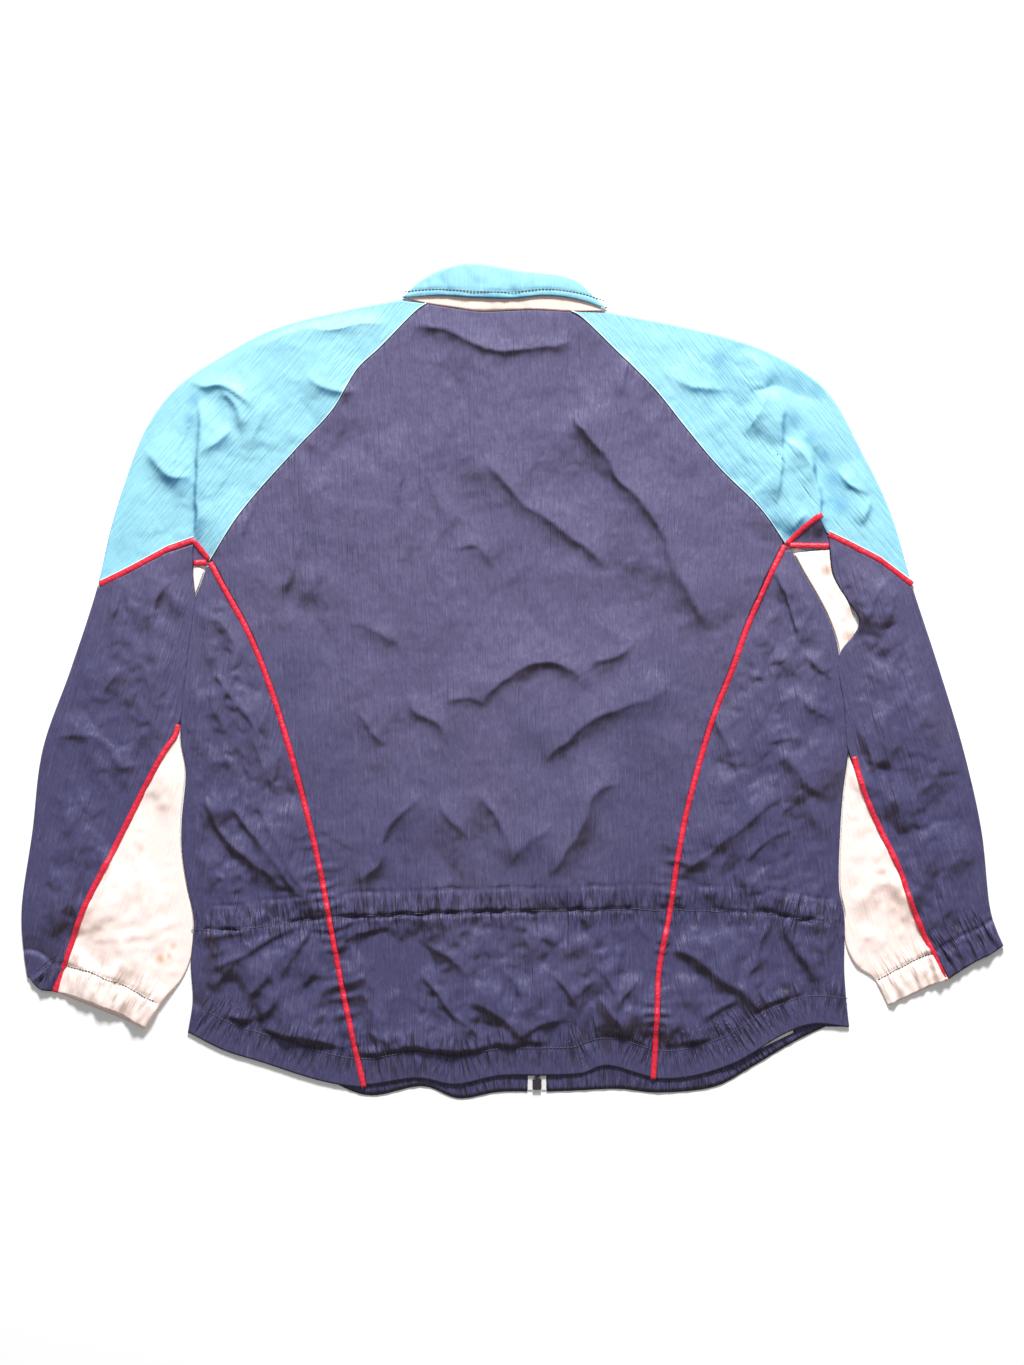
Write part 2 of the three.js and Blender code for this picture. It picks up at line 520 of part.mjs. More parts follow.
for (const [side, sleeve] of Object.entries(sleeves)) {
  const { outer, gusset, into } = sleeve;
  const outerOffset = into * edgeInset;
  const inner = -into * seamGap;
  const innerPiped = -into * pipedEdge;
  const sided = (outerRail, innerRail) => (
    side === 'left' ? { left: outerRail, right: innerRail } : { left: innerRail, right: outerRail });
  const seamRail = rail(sleeve.seam, null, null, inner);
  addPanel(`yoke_${side}`, sky, {
    height: backHeight,
    lowest: backLevel,
    turned: side,
    underColumns: 3,
    stretches: [{
      ...sided(rail(outer, null, sleeve.pipingEnd + pipedEdge, outerOffset), seamRail),
      bottom: cornered(sleeve.piping, pipedEdge),
      under: seamRail,
      rows: 17,
      columns: sleeve.yokeColumns,
    }],
  });

  const cuffShares = hemShares(sleeve.outerX, sleeve.cuffSeam + innerPiped, sleeve.cuff);
  const cuffEdge = (shares, lift) => (s) => placeOn(sleeve.cuff, shares(side === 'left' ? s : 1 - s), lift);
  const [manyColumns, fewColumns] = sleeve.sleeveColumns;
  addPanel(`sleeve_${side}`, navy, {
    height: backHeight,
    lowest: backLevel,
    turned: side,
    underColumns: 3,
    stretches: [
      { ...sided(rail(outer, sleeve.pipingEnd - pipedEdge, 88, outerOffset),
        straight(sleeve.tail, [sleeve.gusset.getPointAt(0).x - into * seamGap, sleeve.gussetStart])),
        top: cornered(sleeve.sleevePiping, -pipedEdge - 2 * edgeGap), under: fixed(gusset, sleeve.underStart, inner),
        rows: 1, columns: [manyColumns, manyColumns] },
      { ...sided(rail(outer, 88, 58, outerOffset), rail(gusset, sleeve.gussetStart, 83, inner)),
        under: rail(gusset, sleeve.underStart - 2, 83, inner), rows: 3, columns: [manyColumns, fewColumns],
        crowding: sleeve.crowding },
      { ...sided(rail(outer, 58, sleeve.apex, outerOffset), rail(gusset, 83, sleeve.apex, inner)),
        under: rail(gusset, 83, sleeve.apex, inner), rows: 6, columns: [fewColumns, fewColumns] },
      { ...sided(rail(outer, sleeve.apex, sleeve.cuffStart, outerOffset),
        rail(gusset, sleeve.apex, sleeve.seamCasing, innerPiped)),
        bottomBow: cuffEdge(cuffShares, casingHeight - 4), under: rail(gusset, sleeve.apex, sleeve.seamCasing, inner),
        rows: 10, columns: [fewColumns, 4] },
      { ...sided(rail(outer, sleeve.cuffStart, null, outerOffset), rail(gusset, sleeve.seamCasing, null, innerPiped)),
        topBow: cuffEdge(cuffShares, casingHeight - 4), bottomBow: cuffEdge(cuffShares, 0),
        under: rail(gusset, sleeve.seamCasing, null, inner), rows: 2, columns: [8, 8], pucker: () => cuffPucker },
    ],
  });

  const gussetShares = hemShares(sleeve.cuffSeam - innerPiped, sleeve.innerX, sleeve.cuff);
  const besideBody = -into * (edgeInset + edgeGap);
  const swapped = (innerRail, outerRail) => (
    side === 'left' ? { left: innerRail, right: outerRail } : { left: outerRail, right: innerRail });
  addPanel(`gusset_${side}`, cream, {
    height: backHeight,
    lowest: backLevel,
    turned: side === 'left' ? 'right' : 'left',
    underColumns: 2,
    stretches: [
      { ...swapped(rail(gusset, sleeve.gussetTop, 83, -inner), rail(sleeve.body, sleeve.gussetTop, 83, besideBody)),
        under: rail(gusset, sleeve.gussetUnder, 83, -inner), rows: 3, columns: [2, 1] },
      { ...swapped(rail(gusset, 83, sleeve.apex, -inner), rail(sleeve.body, 83, sleeve.apex, besideBody)),
        under: rail(gusset, 83, sleeve.apex, -inner), rows: 6, columns: [1, 1] },
      { ...swapped(rail(gusset, sleeve.apex, -237, -innerPiped), rail(sleeve.body, sleeve.apex, -237, besideBody)),
        under: rail(gusset, sleeve.apex, -237, -inner), rows: 8, columns: [1, 5] },
      { ...swapped(rail(gusset, -237, sleeve.seamCasing, -innerPiped),
        rail(sleeve.inner, null, sleeve.innerCasing, -into * edgeInset)),
        bottomBow: cuffEdge(gussetShares, casingHeight), under: rail(gusset, -237, sleeve.seamCasing, -inner),
        rows: 3, columns: [5, 8] },
      { ...swapped(rail(gusset, sleeve.seamCasing, null, -innerPiped),
        rail(sleeve.inner, sleeve.innerCasing, null, -into * edgeInset)),
        topBow: cuffEdge(gussetShares, casingHeight), bottomBow: cuffEdge(gussetShares, 0),
        under: rail(gusset, sleeve.seamCasing, null, -inner), rows: 2, columns: [16, 16],
        pucker: () => cuffPucker },
    ],
  });
}

// Fronts, face down and flat under the back, from the front neck to the hem that hangs out below it
const frontShares = (fromX, toX) => hemShares(fromX, toX, lines.hemFront);
const frontNeck = (fromX, toX) => {
  const shares = hemShares(fromX, toX, lines.neckFront);
  return (s) => placeOn(lines.neckFront, shares(s), -seamGap);
};
const underarmY = 104;
const fronts = {
  left: { seam: lines.raglanLeft, side: lines.sideSeamLeft, into: 1, neckX: -84, hemX: -301, hemY: -350 },
  right: { seam: lines.raglanRight, side: lines.sideSeamRight, into: -1, neckX: 56, hemX: 313, hemY: -344 },
};
for (const [side, front] of Object.entries(fronts)) {
  const zipEdge = zipX - front.into * (tapeHalf + seamGap);
  const beside = front.into * 1.5 * seamGap;
  const sided = (outerRail, innerRail) => (
    side === 'left' ? { left: outerRail, right: innerRail } : { left: innerRail, right: outerRail });
  const inOrder = (a, b) => (side === 'left' ? [a, b] : [b, a]);
  const neckTop = shareAtY(front.seam, lines.neckFront.getPointAt(0).y - 14);
  addPanel(`front_${side}`, navy, {
    height: frontHeight,
    face: -1,
    stretches: [
      { ...sided((u) => placeOn(front.seam, lerp(neckTop, 1, u), front.into * seamGap),
        straight([zipEdge, 312], [zipEdge, 118])), top: frontNeck(...inOrder(front.neckX, zipEdge)),
        rows: 8, columns: [12, 5], keepEnd: true },
      { ...sided(rail(front.side, underarmY, front.hemY + casingHeight, beside),
        straight([zipEdge, underarmY], [zipEdge, -380])), rows: 11, columns: [5, 5] },
      { ...sided(rail(front.side, front.hemY + casingHeight, null, beside), straight([zipEdge, -380], [zipEdge, -409])),
        bottomBow: (s) => placeOn(lines.hemFront, frontShares(...inOrder(front.hemX, zipEdge))(s)), rows: 1,
        columns: [10, 20], pucker: (u) => 0.4 * u },
    ],
  });
}

// White lining of the right front, where it shows between the two hems
addPanel('lining_right', cream, {
  height: () => backLevel + 0.4,
  stretches: [{
    left: straight([237, -338], [237, -371]),
    right: straight([281, -328], [281, -350]),
    rows: 1,
    columns: [3, 3],
  }],
});

// Collar: flattened rings, open at the zip. A ring runs under the neck from the zip to one side, up round
// it, over the back and down again
function collarRing(name, color, levels, back, front, reach) {
  const middle = (levels.back + levels.front) / 2;
  const radius = (levels.back - levels.front) / 2;
  const across = [0, 1 / 3, 2 / 3, 1];
  const rowAt = (low, up, level, angle, out, roll) => across.map((s) => ({
    s,
    point: new THREE.Vector3(
      lerp(low.x, up.x, s) + out * radius * Math.sin(angle), lerp(low.y, up.y, s),
      (level ?? middle + radius * Math.cos(angle)) + roll * Math.sin(Math.PI * s)),
    normal: new THREE.Vector3(out * Math.sin(angle), 0, Math.cos(angle)),
  }));
  const rows = [];
  const frontSteps = 12;
  const backSteps = 16;
  const turns = [150, 120, 90, 60, 30].map(THREE.MathUtils.degToRad);
  const leftEnd = shareAtX(lines.neckFront, zipX - reach);
  const rightEnd = shareAtX(lines.neckFront, zipX + reach);
  for (let i = 0; i <= frontSteps; i++) {
    const u = lerp(leftEnd, 0, i / frontSteps);
    rows.push(rowAt(front.low(u), front.up(u), levels.front, Math.PI, 0, 0));
  }
  for (const angle of turns) rows.push(rowAt(back.low(0), back.up(0), null, angle, -1, 0));
  for (let i = 0; i <= backSteps; i++) {
    const u = i / backSteps;
    rows.push(rowAt(back.low(u), back.up(u), levels.back, 0, 0, levels.roll * Math.sin(Math.PI * u)));
  }
  for (const angle of turns.slice().reverse()) rows.push(rowAt(back.low(1), back.up(1), null, angle, 1, 0));
  for (let i = 0; i <= frontSteps; i++) {
    const u = lerp(1, rightEnd, i / frontSteps);
    rows.push(rowAt(front.low(u), front.up(u), levels.front, Math.PI, 0, 0));
  }
  addPiece(name, wall(rows, cloth), color);
}

const standHeight = 46;
const frontRise = (u, share) => {
  const place = placeOn(lines.neckFront, u);
  return { x: place.x, y: place.y + seamGap + share * (1.6 + standHeight * Math.sin(Math.PI * u) ** 1.5) };
};
const onLine = (line, dy = 0, widthShare = 1) => (u) => {
  const place = placeOn(line, u);
  return { x: place.x * widthShare, y: place.y + dy };
};
collarRing('collar_stand', cream, { back: backLevel + cloth + seamGap, front: backLevel, roll: 0 },
  { low: onLine(lines.collarStandLow), up: onLine(lines.collarTop, -1, 0.965) },
  { low: (u) => frontRise(u, 0), up: (u) => frontRise(u, 1) }, tapeHalf + seamGap);
collarRing('collar_fall', sky, { back: backLevel + 2 * (cloth + seamGap), front: frontLevel, roll: 2.5 },
  { low: onLine(lines.collarFallLow), up: onLine(lines.collarTop) },
  { low: (u) => frontRise(u, 0.3), up: (u) => frontRise(u, 1) }, tapeHalf + 3);

// Piping: a corded strip set into a seam, as high above the cloth on each side
function addPiping(name, places) {
  const half = pipingWidth / 2;
  const section = [[-half, -cloth / 2], [-half * 0.75, 0.5], [0, pipingHeight - cloth / 2], [half * 0.75, 0.5],
    [half, -cloth / 2]];
  const positions = places.flatMap(({ x, y, side }) => section.flatMap(([across, up]) => (
    [x + side.x * across, y + side.y * across, backHeight(x, y) + up])));
  const sides = section.length;
  const index = [];
  for (let i = 0; i + 1 < places.length; i++) {
    for (let j = 0; j < sides; j++) {
      const a = i * sides + j;
      const b = i * sides + (j + 1) % sides;
      index.push(a, b, a + sides, b, b + sides, a + sides);
    }
  }
  const last = (places.length - 1) * sides;
  for (let j = 1; j + 1 < sides; j++) index.push(0, j + 1, j, last, last + j, last + j + 1);
  addPiece(name, closedGeometry(positions, index), red, 0.45);
}

function alongLine(line, fromY, toY, steps) {
  const place = rail(line, fromY, toY);
  return Array.from({ length: steps + 1 }, (_, i) => place(i / steps));
}

function alongCorners(points) {
  const raised = mitred(points, 1);
  return points.map(([x, y], i) => ({ x, y, side: { x: raised[i][0] - x, y: raised[i][1] - y } }));
}

addPiping('piping_back_left', alongLine(lines.princessLeft, 116, null, 28));
addPiping('piping_back_right', alongLine(lines.princessRight, 130, null, 28));
addPiping('piping_yoke_left', alongCorners(seams.pipingLeft.slice(0, -1)));
addPiping('piping_yoke_right', alongCorners(seams.pipingRight.slice(1)));
addPiping('piping_underarm_left', alongCorners([[-317.6, 119.3], [-309.5, 119.3]]));
addPiping('piping_underarm_right', alongCorners([[283.5, 135.9], [315.8, 135.9]]));
addPiping('piping_sleeve_left', alongLine(lines.gussetLeft, -62, null, 15));
addPiping('piping_sleeve_right', alongLine(lines.gussetRight, -87, null, 13));

// Zip: chain and tapes, lifted at the top, where the slider lies under them
const chainLow = chainThickness / 2;
const chainHigh = slider.underside + slider.thickness / 2;
const chainLevel = (y) => lerp(chainLow, chainHigh, smoothstep(y, 262, 310));
const up = new THREE.Vector3(0, 0, 1);

// Strip between two distances from the zip's middle, at the places given as [y, x, z, x, z]
function zipStrip(places, thickness) {
  return wall(places.map(([y, ...ends]) => [0, 1].map((s) => (
    { s, point: new THREE.Vector3(zipX + ends[2 * s], y, ends[2 * s + 1]), normal: up }))), thickness);
}

const chainBottom = zipBottom + boxLength + seamGap;
const risingPlaces = [200, 262, 270, 278, 286, 294, 302, 310];
const chainPlaces = [chainBottom, ...risingPlaces, zipTop - seamGap];
addPiece('zip_chain', zipStrip(chainPlaces.map((y) => (
  [y, -chainWidth / 2, chainLevel(y), chainWidth / 2, chainLevel(y)])), chainThickness), navy, 0.4);

for (const [side, out] of [['left', -1], ['right', 1]]) {
  const tapeEnd = zipTop + slider.length;
  const tapePlaces = [zipBottom + plateLength + seamGap, ...risingPlaces, zipTop - 2, zipTop - 1, tapeEnd];
  addPiece(`zip_tape_${side}`, zipStrip(tapePlaces.map((y) => {
    const inner = y > zipTop - 1.5 ? slider.width / 2 + seamGap : chainWidth / 2 + seamGap;
    return [y, out * tapeHalf, lerp(frontLevel, backLevel, smoothstep(y, 290, 310)), out * inner, chainLevel(y)];
  }), cloth), navy);

  // Stiff white plate at the tape's end, cut back where the box takes it
  const plate = new THREE.Shape();
  const [besideChain, besideBox] = [chainWidth / 2 + seamGap, slider.width / 2 + seamGap];
  const corners = [[tapeHalf, 0], [tapeHalf, plateLength], [besideChain, plateLength],
    [besideChain, boxLength + seamGap], [besideBox, boxLength + seamGap], [besideBox, 0]];
  corners.forEach(([x, y], i) => (i ? plate.lineTo(out * x, y) : plate.moveTo(out * x, y)));
  const plateGeometry = new THREE.ExtrudeGeometry(plate, { depth: cloth, bevelEnabled: false });
  plateGeometry.translate(zipX, zipBottom, 0);
  addPiece(`zip_end_${side}`, plateGeometry, cream, 0.35);
}

// Box at the bottom end that holds the pin
const boxShape = new THREE.Shape();
const boxHalf = slider.width / 2;
boxShape.moveTo(-boxHalf + 1.5, 0);
boxShape.lineTo(boxHalf - 1.5, 0);
boxShape.quadraticCurveTo(boxHalf, 0, boxHalf, 1.5);
boxShape.lineTo(boxHalf, boxLength);
boxShape.lineTo(-boxHalf, boxLength);
boxShape.lineTo(-boxHalf, 1.5);
boxShape.quadraticCurveTo(-boxHalf, 0, -boxHalf + 1.5, 0);
const boxGeometry = new THREE.ExtrudeGeometry(boxShape, { depth: 3.2, bevelEnabled: false, curveSegments: 4 });
boxGeometry.translate(zipX, zipBottom, 0);
addPiece('zip_box', boxGeometry, metal, 0.3, 0.6);

const wasm = await Module();
wasm.setup();

function toSolid(geometry) {
  const bare = geometry.clone();
  bare.deleteAttribute('normal');
  bare.deleteAttribute('uv');
  const merged = mergeVertices(bare, 1e-4);
  return new wasm.Manifold(new wasm.Mesh({
    numProp: 3,
    vertProperties: new Float32Array(merged.attributes.position.array),
    triVerts: new Uint32Array(merged.index.array),
  }));
}

function toGeometry(solid) {
  const { vertProperties, triVerts } = solid.getMesh();
  return closedGeometry(Array.from(vertProperties), Array.from(triVerts));
}

// Slider: two plates on a web, with lips that keep the chain in, and a bail under it for the pull tab
const middleHeight = slider.thickness / 2;
const channel = middleHeight - slider.plate;
const halfProfile = [[slider.width / 2, -middleHeight], [slider.width / 2, -channel + 0.4],
  [slider.width / 2 - slider.lip, -channel + 0.4], [slider.width / 2 - slider.lip, -channel],
  [slider.web / 2, -channel]];
const rightProfile = [...halfProfile, ...halfProfile.map(([x, z]) => [x, -z]).reverse()];
const profile = new THREE.Shape(
  [...rightProfile, ...rightProfile.map(([x, z]) => [-x, z]).reverse()].map(([x, z]) => new THREE.Vector2(x, z)));
const sliderBody = new THREE.ExtrudeGeometry(profile, { depth: slider.length, bevelEnabled: false });
sliderBody.rotateX(-Math.PI / 2);
sliderBody.translate(zipX, zipTop, slider.underside + middleHeight);
let sliderSolid = toSolid(sliderBody);
const postHeight = slider.underside + 0.2 - (bail.z - bail.pin);
for (const out of [-1, 1]) {
  const post = new THREE.BoxGeometry(bail.postWidth, bail.postLength, postHeight);
  post.translate(zipX + out * (bail.inside + bail.postWidth) / 2, bail.y, bail.z - bail.pin + postHeight / 2);
  sliderSolid = sliderSolid.add(toSolid(post));
}
const pin = new THREE.CylinderGeometry(bail.pin, bail.pin, bail.inside + bail.postWidth, 12);
pin.rotateZ(Math.PI / 2);
pin.translate(zipX, bail.y, bail.z);
sliderSolid = sliderSolid.add(toSolid(pin));
addPiece('zip_slider', toGeometry(sliderSolid), metal, 0.3, 0.8);

// Pull tab: a plate with an eye round the bail's pin, lying along the zip
const plateLow = tab.underside - bail.z;
const plateHigh = plateLow + tab.thickness;
const tabShape = new THREE.Shape();
tabShape.moveTo(-tab.length, plateLow);
tabShape.absarc(0, 0, tab.eye, Math.PI + Math.asin(-plateLow / tab.eye), 3 * Math.PI + Math.asin(plateHigh / -tab.eye),
  false);
tabShape.lineTo(-tab.length, plateHigh);
tabShape.closePath();
const eyeHole = new THREE.Path();
eyeHole.absarc(0, 0, tab.hole, 0, 2 * Math.PI, true);
tabShape.holes.push(eyeHole);
const tabGeometry = new THREE.ExtrudeGeometry(tabShape, { depth: tab.width, bevelEnabled: false, curveSegments: 16 });
tabGeometry.rotateX(Math.PI / 2);
tabGeometry.rotateZ(Math.PI / 2);
tabGeometry.translate(zipX - tab.width / 2, bail.y, bail.z);
addPiece('zip_pull_tab', tabGeometry, metal, 0.3, 0.8);

export default jacket;
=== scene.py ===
import math

import bpy
import numpy as np
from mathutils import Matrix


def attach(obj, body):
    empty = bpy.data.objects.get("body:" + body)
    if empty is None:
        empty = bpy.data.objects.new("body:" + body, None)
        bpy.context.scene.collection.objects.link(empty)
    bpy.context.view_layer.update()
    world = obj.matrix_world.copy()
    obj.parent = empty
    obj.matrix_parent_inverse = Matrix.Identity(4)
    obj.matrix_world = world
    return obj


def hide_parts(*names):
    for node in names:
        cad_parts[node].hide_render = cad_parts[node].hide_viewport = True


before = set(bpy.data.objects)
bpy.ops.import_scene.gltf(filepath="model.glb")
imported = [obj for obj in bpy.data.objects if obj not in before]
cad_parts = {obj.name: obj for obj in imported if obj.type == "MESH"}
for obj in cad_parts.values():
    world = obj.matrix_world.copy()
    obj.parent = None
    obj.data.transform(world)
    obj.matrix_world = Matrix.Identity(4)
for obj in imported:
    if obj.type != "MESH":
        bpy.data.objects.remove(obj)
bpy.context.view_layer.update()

# The jacket lies face down on a white floor and is seen from straight above. Soft daylight comes from
# beyond the collar, low enough to draw the folds.
camera_height = 3.0
view_height = 1.365
sensor = 36
camera = bpy.data.objects.new("camera", bpy.data.cameras.new("camera"))
camera.data.sensor_width = sensor
camera.data.lens = sensor * camera_height / view_height
camera.location = (0, 0, camera_height)
scene = bpy.context.scene
scene.collection.objects.link(camera)
scene.camera = camera
scene.view_settings.view_transform = "Standard"


def linear(colour):
    """Linear RGBA of an sRGB hex colour such as 'f0e0d0'."""
    parts = [int(colour[i:i + 2], 16) / 255 for i in (0, 2, 4)]
    return tuple(c / 12.92 if c <= 0.04045 else ((c + 0.055) / 1.055) ** 2.4 for c in parts) + (1,)


def add(tree, kind, inputs=None, **settings):
    """Adds a node with its settings. An input is a value, or the output that it is linked from."""
    made = tree.nodes.new(kind)
    for key, value in settings.items():
        setattr(made, key, value)
    for key, value in (inputs or {}).items():
        if isinstance(value, bpy.types.NodeSocket):
            tree.links.new(value, made.inputs[key])
        else:
            made.inputs[key].default_value = value
    return made


def new_material(name):
    material = bpy.data.materials.new(name)
    material.use_nodes = True
    tree = material.node_tree
    tree.nodes.clear()
    return material, tree


def plain_material(name, surface):
    """Material of one even finish, given by the shader's own values."""
    material, tree = new_material(name)
    shader = add(tree, "ShaderNodeBsdfPrincipled", surface)
    add(tree, "ShaderNodeOutputMaterial", {"Surface": shader.outputs["BSDF"]})
    return material


window = bpy.data.objects.new("window", bpy.data.lights.new("window", "AREA"))
window.data.size = 0.9
window.data.energy = 285
window.location = (0.2, 3.4, 2.2)
flat_distance = math.hypot(window.location.x, window.location.y)
window.rotation_euler = (math.atan2(flat_distance, window.location.z), 0,
                         math.atan2(window.location.y, window.location.x) + math.pi / 2)
scene.collection.objects.link(window)
world = bpy.data.worlds.new("room")
world.use_nodes = True
world.node_tree.nodes["Background"].inputs["Color"].default_value = (1, 1, 1, 1)
world.node_tree.nodes["Background"].inputs["Strength"].default_value = 0.38
scene.world = world

floor_half = 8
floor_level = -0.0004
floor_corners = [(x * floor_half, y * floor_half, floor_level)
                 for x, y in ((-1, -1), (1, -1), (1, 1), (-1, 1))]
floor_mesh = bpy.data.meshes.new("floor")
floor_mesh.from_pydata(floor_corners, [], [(0, 1, 2, 3)])
floor = bpy.data.objects.new("floor", floor_mesh)
scene.collection.objects.link(floor)
# Matt white paint: bright enough to go white in the picture beside the cloth.
paint = plain_material("matt_white_paint", {"Base Color": linear("ffffff"), "Roughness": 0.9})
floor_mesh.materials.append(paint)

# Back centre panel: one piece of navy nylon between the raglan seams above and the piped seams below, with
# elastic in a channel across the waist and in the hem, whose gathers and the way it was laid crease it.
# In mm: the upper cloth lies back_level above the floor and puffs up from there, and no fold is higher than
# highest_fold. The casing is the hem's and the cuffs' channel for elastic.
back_level = 2.1
puff = 3.4
highest_fold = 14.5
casing = 28
cloth = 0.5
piping_half = 3.0
body_half = 345


def smooth(points, step=4.0):
    """Evenly spaced points, in mm, of the smooth line through the given ones."""
    given = np.array(points, float)
    if len(given) == 2:
        fine = given
    else:
        padded = np.vstack([2 * given[0] - given[1], given, 2 * given[-1] - given[-2]])
        runs = []
        for a, b, c, d in zip(padded, padded[1:], padded[2:], padded[3:]):
            k1 = math.dist(a, b) ** 0.5
            k2 = k1 + math.dist(b, c) ** 0.5
            k3 = k2 + math.dist(c, d) ** 0.5
            t = np.linspace(k1, k2, 12, endpoint=False)[:, None]
            ab = (k1 - t) / k1 * a + t / k1 * b
            bc = (k2 - t) / (k2 - k1) * b + (t - k1) / (k2 - k1) * c
            cd = (k3 - t) / (k3 - k2) * c + (t - k2) / (k3 - k2) * d
            left = (k2 - t) / k2 * ab + t / k2 * bc
            right = (k3 - t) / (k3 - k1) * bc + (t - k1) / (k3 - k1) * cd
            runs.append((k2 - t) / (k2 - k1) * left + (t - k1) / (k2 - k1) * right)
        fine = np.vstack(runs + [given[-1:]])
    return spread(fine, max(2, round(span(fine)[-1] / step)))


def span(line):
    """How far along a line each of its points is."""
    return np.concatenate([[0], np.cumsum(np.hypot(*np.diff(line, axis=0).T))])


def spread(line, count, start=0.0, end=1.0):
    """Count + 1 even points between two shares of a line's length."""
    along = span(line)
    places = np.linspace(start, end, count + 1) * along[-1]
    return np.stack([np.interp(places, along, line[:, i]) for i in range(line.shape[1])], 1)


def share_at(line, y):
    """Share of the length at which a line that runs down passes a height."""
    along = span(line)
    return float(np.interp(-y, np.maximum.accumulate(-line[:, 1]), along)) / along[-1]


def run(line, top, bottom, count, shift=0.0):
    """Points of a seam between two heights (None is its end), moved to its +X side by shift."""
    start = 0.0 if top is None else share_at(line, top)
    end = 1.0 if bottom is None else share_at(line, bottom)
    return moved(spread(line, count, start, end), shift)


def moved(points, shift):
    """Points of a line moved sideways, to the left of its direction."""
    tangent = np.gradient(points, axis=0)
    tangent /= np.hypot(*tangent.T)[:, None]
    return points + shift * np.stack([-tangent[:, 1], tangent[:, 0]], 1)


def share_at_x(line, x):
    """Share of the length at which a line that runs towards +X passes a place."""
    along = span(line)
    return float(np.interp(x, line[:, 0], along)) / along[-1]


def stretch(line, count, start=None, end=None):
    """Count + 1 even points of a line that runs towards +X, between two places in X (None is its end)."""
    return spread(line, count, 0.0 if start is None else share_at_x(line, start),
                  1.0 if end is None else share_at_x(line, end))


def joined(*parts):
    """One line of several that follow each other."""
    return np.vstack([part[:-1] for part in parts[:-1]] + [parts[-1]])


def nearest(line, x, y):
    """Distance from each point to a line, positive on the line's left, and how far along it that is."""
    best = np.full(x.shape, 1e9)
    place = np.zeros(x.shape)
    side = np.ones(x.shape)
    starts = span(line)
    for (ax, ay), (bx, by), start in zip(line, line[1:], starts):
        dx, dy = bx - ax, by - ay
        length = math.hypot(dx, dy)
        t = np.clip(((x - ax) * dx + (y - ay) * dy) / length ** 2, 0, 1)
        distance = np.hypot(x - ax - dx * t, y - ay - dy * t)
        closer = distance < best
        best[closer] = distance[closer]
        place[closer] = start + t[closer] * length
        side[closer] = np.where((dx * (y - ay) - dy * (x - ax))[closer] >= 0, 1, -1)
    return best * side, place


def ease(value):
    """Soft step from 0 to 1 as the value goes from 0 to 1."""
    t = np.clip(value, 0, 1)
    return t * t * (3 - 2 * t)


def lattice(x, y, cell, seed):
    """Place of each point in a turned lattice of cells, and the seeded values at its cell's corners."""
    table = np.random.default_rng(seed).uniform(-1, 1, (64, 64))
    turn = 0.5 + 1.3 * seed
    gx = (x * math.cos(turn) - y * math.sin(turn)) / cell + 500.3
    gy = (x * math.sin(turn) + y * math.cos(turn)) / cell + 500.7
    ix, iy = np.floor(gx).astype(int), np.floor(gy).astype(int)
    values = [table[(ix + i) % 64, (iy + j) % 64] for i, j in ((0, 0), (1, 0), (0, 1), (1, 1))]
    return gx - ix, gy - iy, values


def wander(x, y, cell, seed):
    """Smooth seeded random height from -1 to 1 that turns over about one cell, in mm."""
    fx, fy, (a, b, c, d) = lattice(x, y, cell, seed)
    fx, fy = ease(fx), ease(fy)
    return (a * (1 - fx) + b * fx) * (1 - fy) + (c * (1 - fx) + d * fx) * fy


def facets(x, y, cell, seed):
    """Crumpled height from -1 to 1: flat faces about one cell wide, in mm, that meet in sharp creases."""
    bend = 0.35 * cell
    fx, fy, (a, b, c, d) = lattice(x + bend * wander(x, y, 0.9 * cell, seed + 50),
                                   y + bend * wander(x, y, 0.9 * cell, seed + 51), cell, seed)
    return a + np.where(fx > fy, fx * (b - a) + fy * (d - b), fy * (c - a) + fx * (d - c))


def plan(points):
    """Plan places, in mm from the middle, of points in mm right and down from the view's corner."""
    return [(x - 512, 683 - y) for x, y in points]


raglan_left = smooth([(-85, 378), (-93, 373), (-133, 333), (-154, 313), (-178, 273), (-215, 233),
                      (-268, 173), (-302, 121)])
raglan_right = smooth([(59, 370), (66, 367), (102, 333), (142, 293), (174, 253), (208, 213), (248, 173),
                       (273, 138)])
princess_left = smooth([(-302, 121), (-287, 93), (-265, 53), (-248, 13), (-228, -47), (-211, -107),
                        (-196, -167), (-184, -227), (-173, -287), (-161, -347), (-148, -404)])
princess_right = smooth([(273, 138), (251, 93), (234, 53), (220, 13), (204, -27), (191, -67), (175, -127),
                         (167, -167), (158, -227), (147, -287), (145, -327), (143, -367), (141, -396)])
neck_back = smooth([(-85, 378), (-59, 373.5), (-34, 370.5), (21, 371.5), (59, 370)])
hem_back = smooth([(-324, -350), (-288, -368), (-252, -379), (-190, -398), (-148, -404), (-93, -397),
                   (-57, -403), (-12, -394), (35, -393), (70, -391), (93, -383), (141, -395), (176, -394),
                   (222, -380), (273, -350), (300, -341), (337, -344)])
outer_left = smooth([(-109, 383), (-163, 373), (-239, 353), (-290, 326), (-337, 293), (-366, 253),
                     (-389, 193), (-401, 153), (-415, 93), (-441, 13), (-469, -67), (-479, -147),
                     (-490, -227), (-488, -268), (-484, -295)])
outer_right = smooth([(94, 371), (113, 367), (173, 355), (250, 333), (313, 293), (348, 233), (377, 173),
                      (400, 96), (427, 13), (451, -67), (469, -147), (478, -227), (484, -247), (491, -263)])
body_left = smooth([(-303, 122), (-311, 99), (-317, 83), (-323, 43), (-330, -17), (-331, -57), (-326, -87),
                    (-330, -137), (-330, -165), (-325, -201), (-318, -236), (-321, -279), (-319, -317),
                    (-324, -350)])
body_right = smooth([(276, 138), (291, 110), (305, 86), (317, 62), (325, 38), (329, 10), (333, -25),
                     (336, -66), (331, -107), (328, -147), (327, -207), (332, -232), (332, -287),
                     (335, -327), (337, -344)])
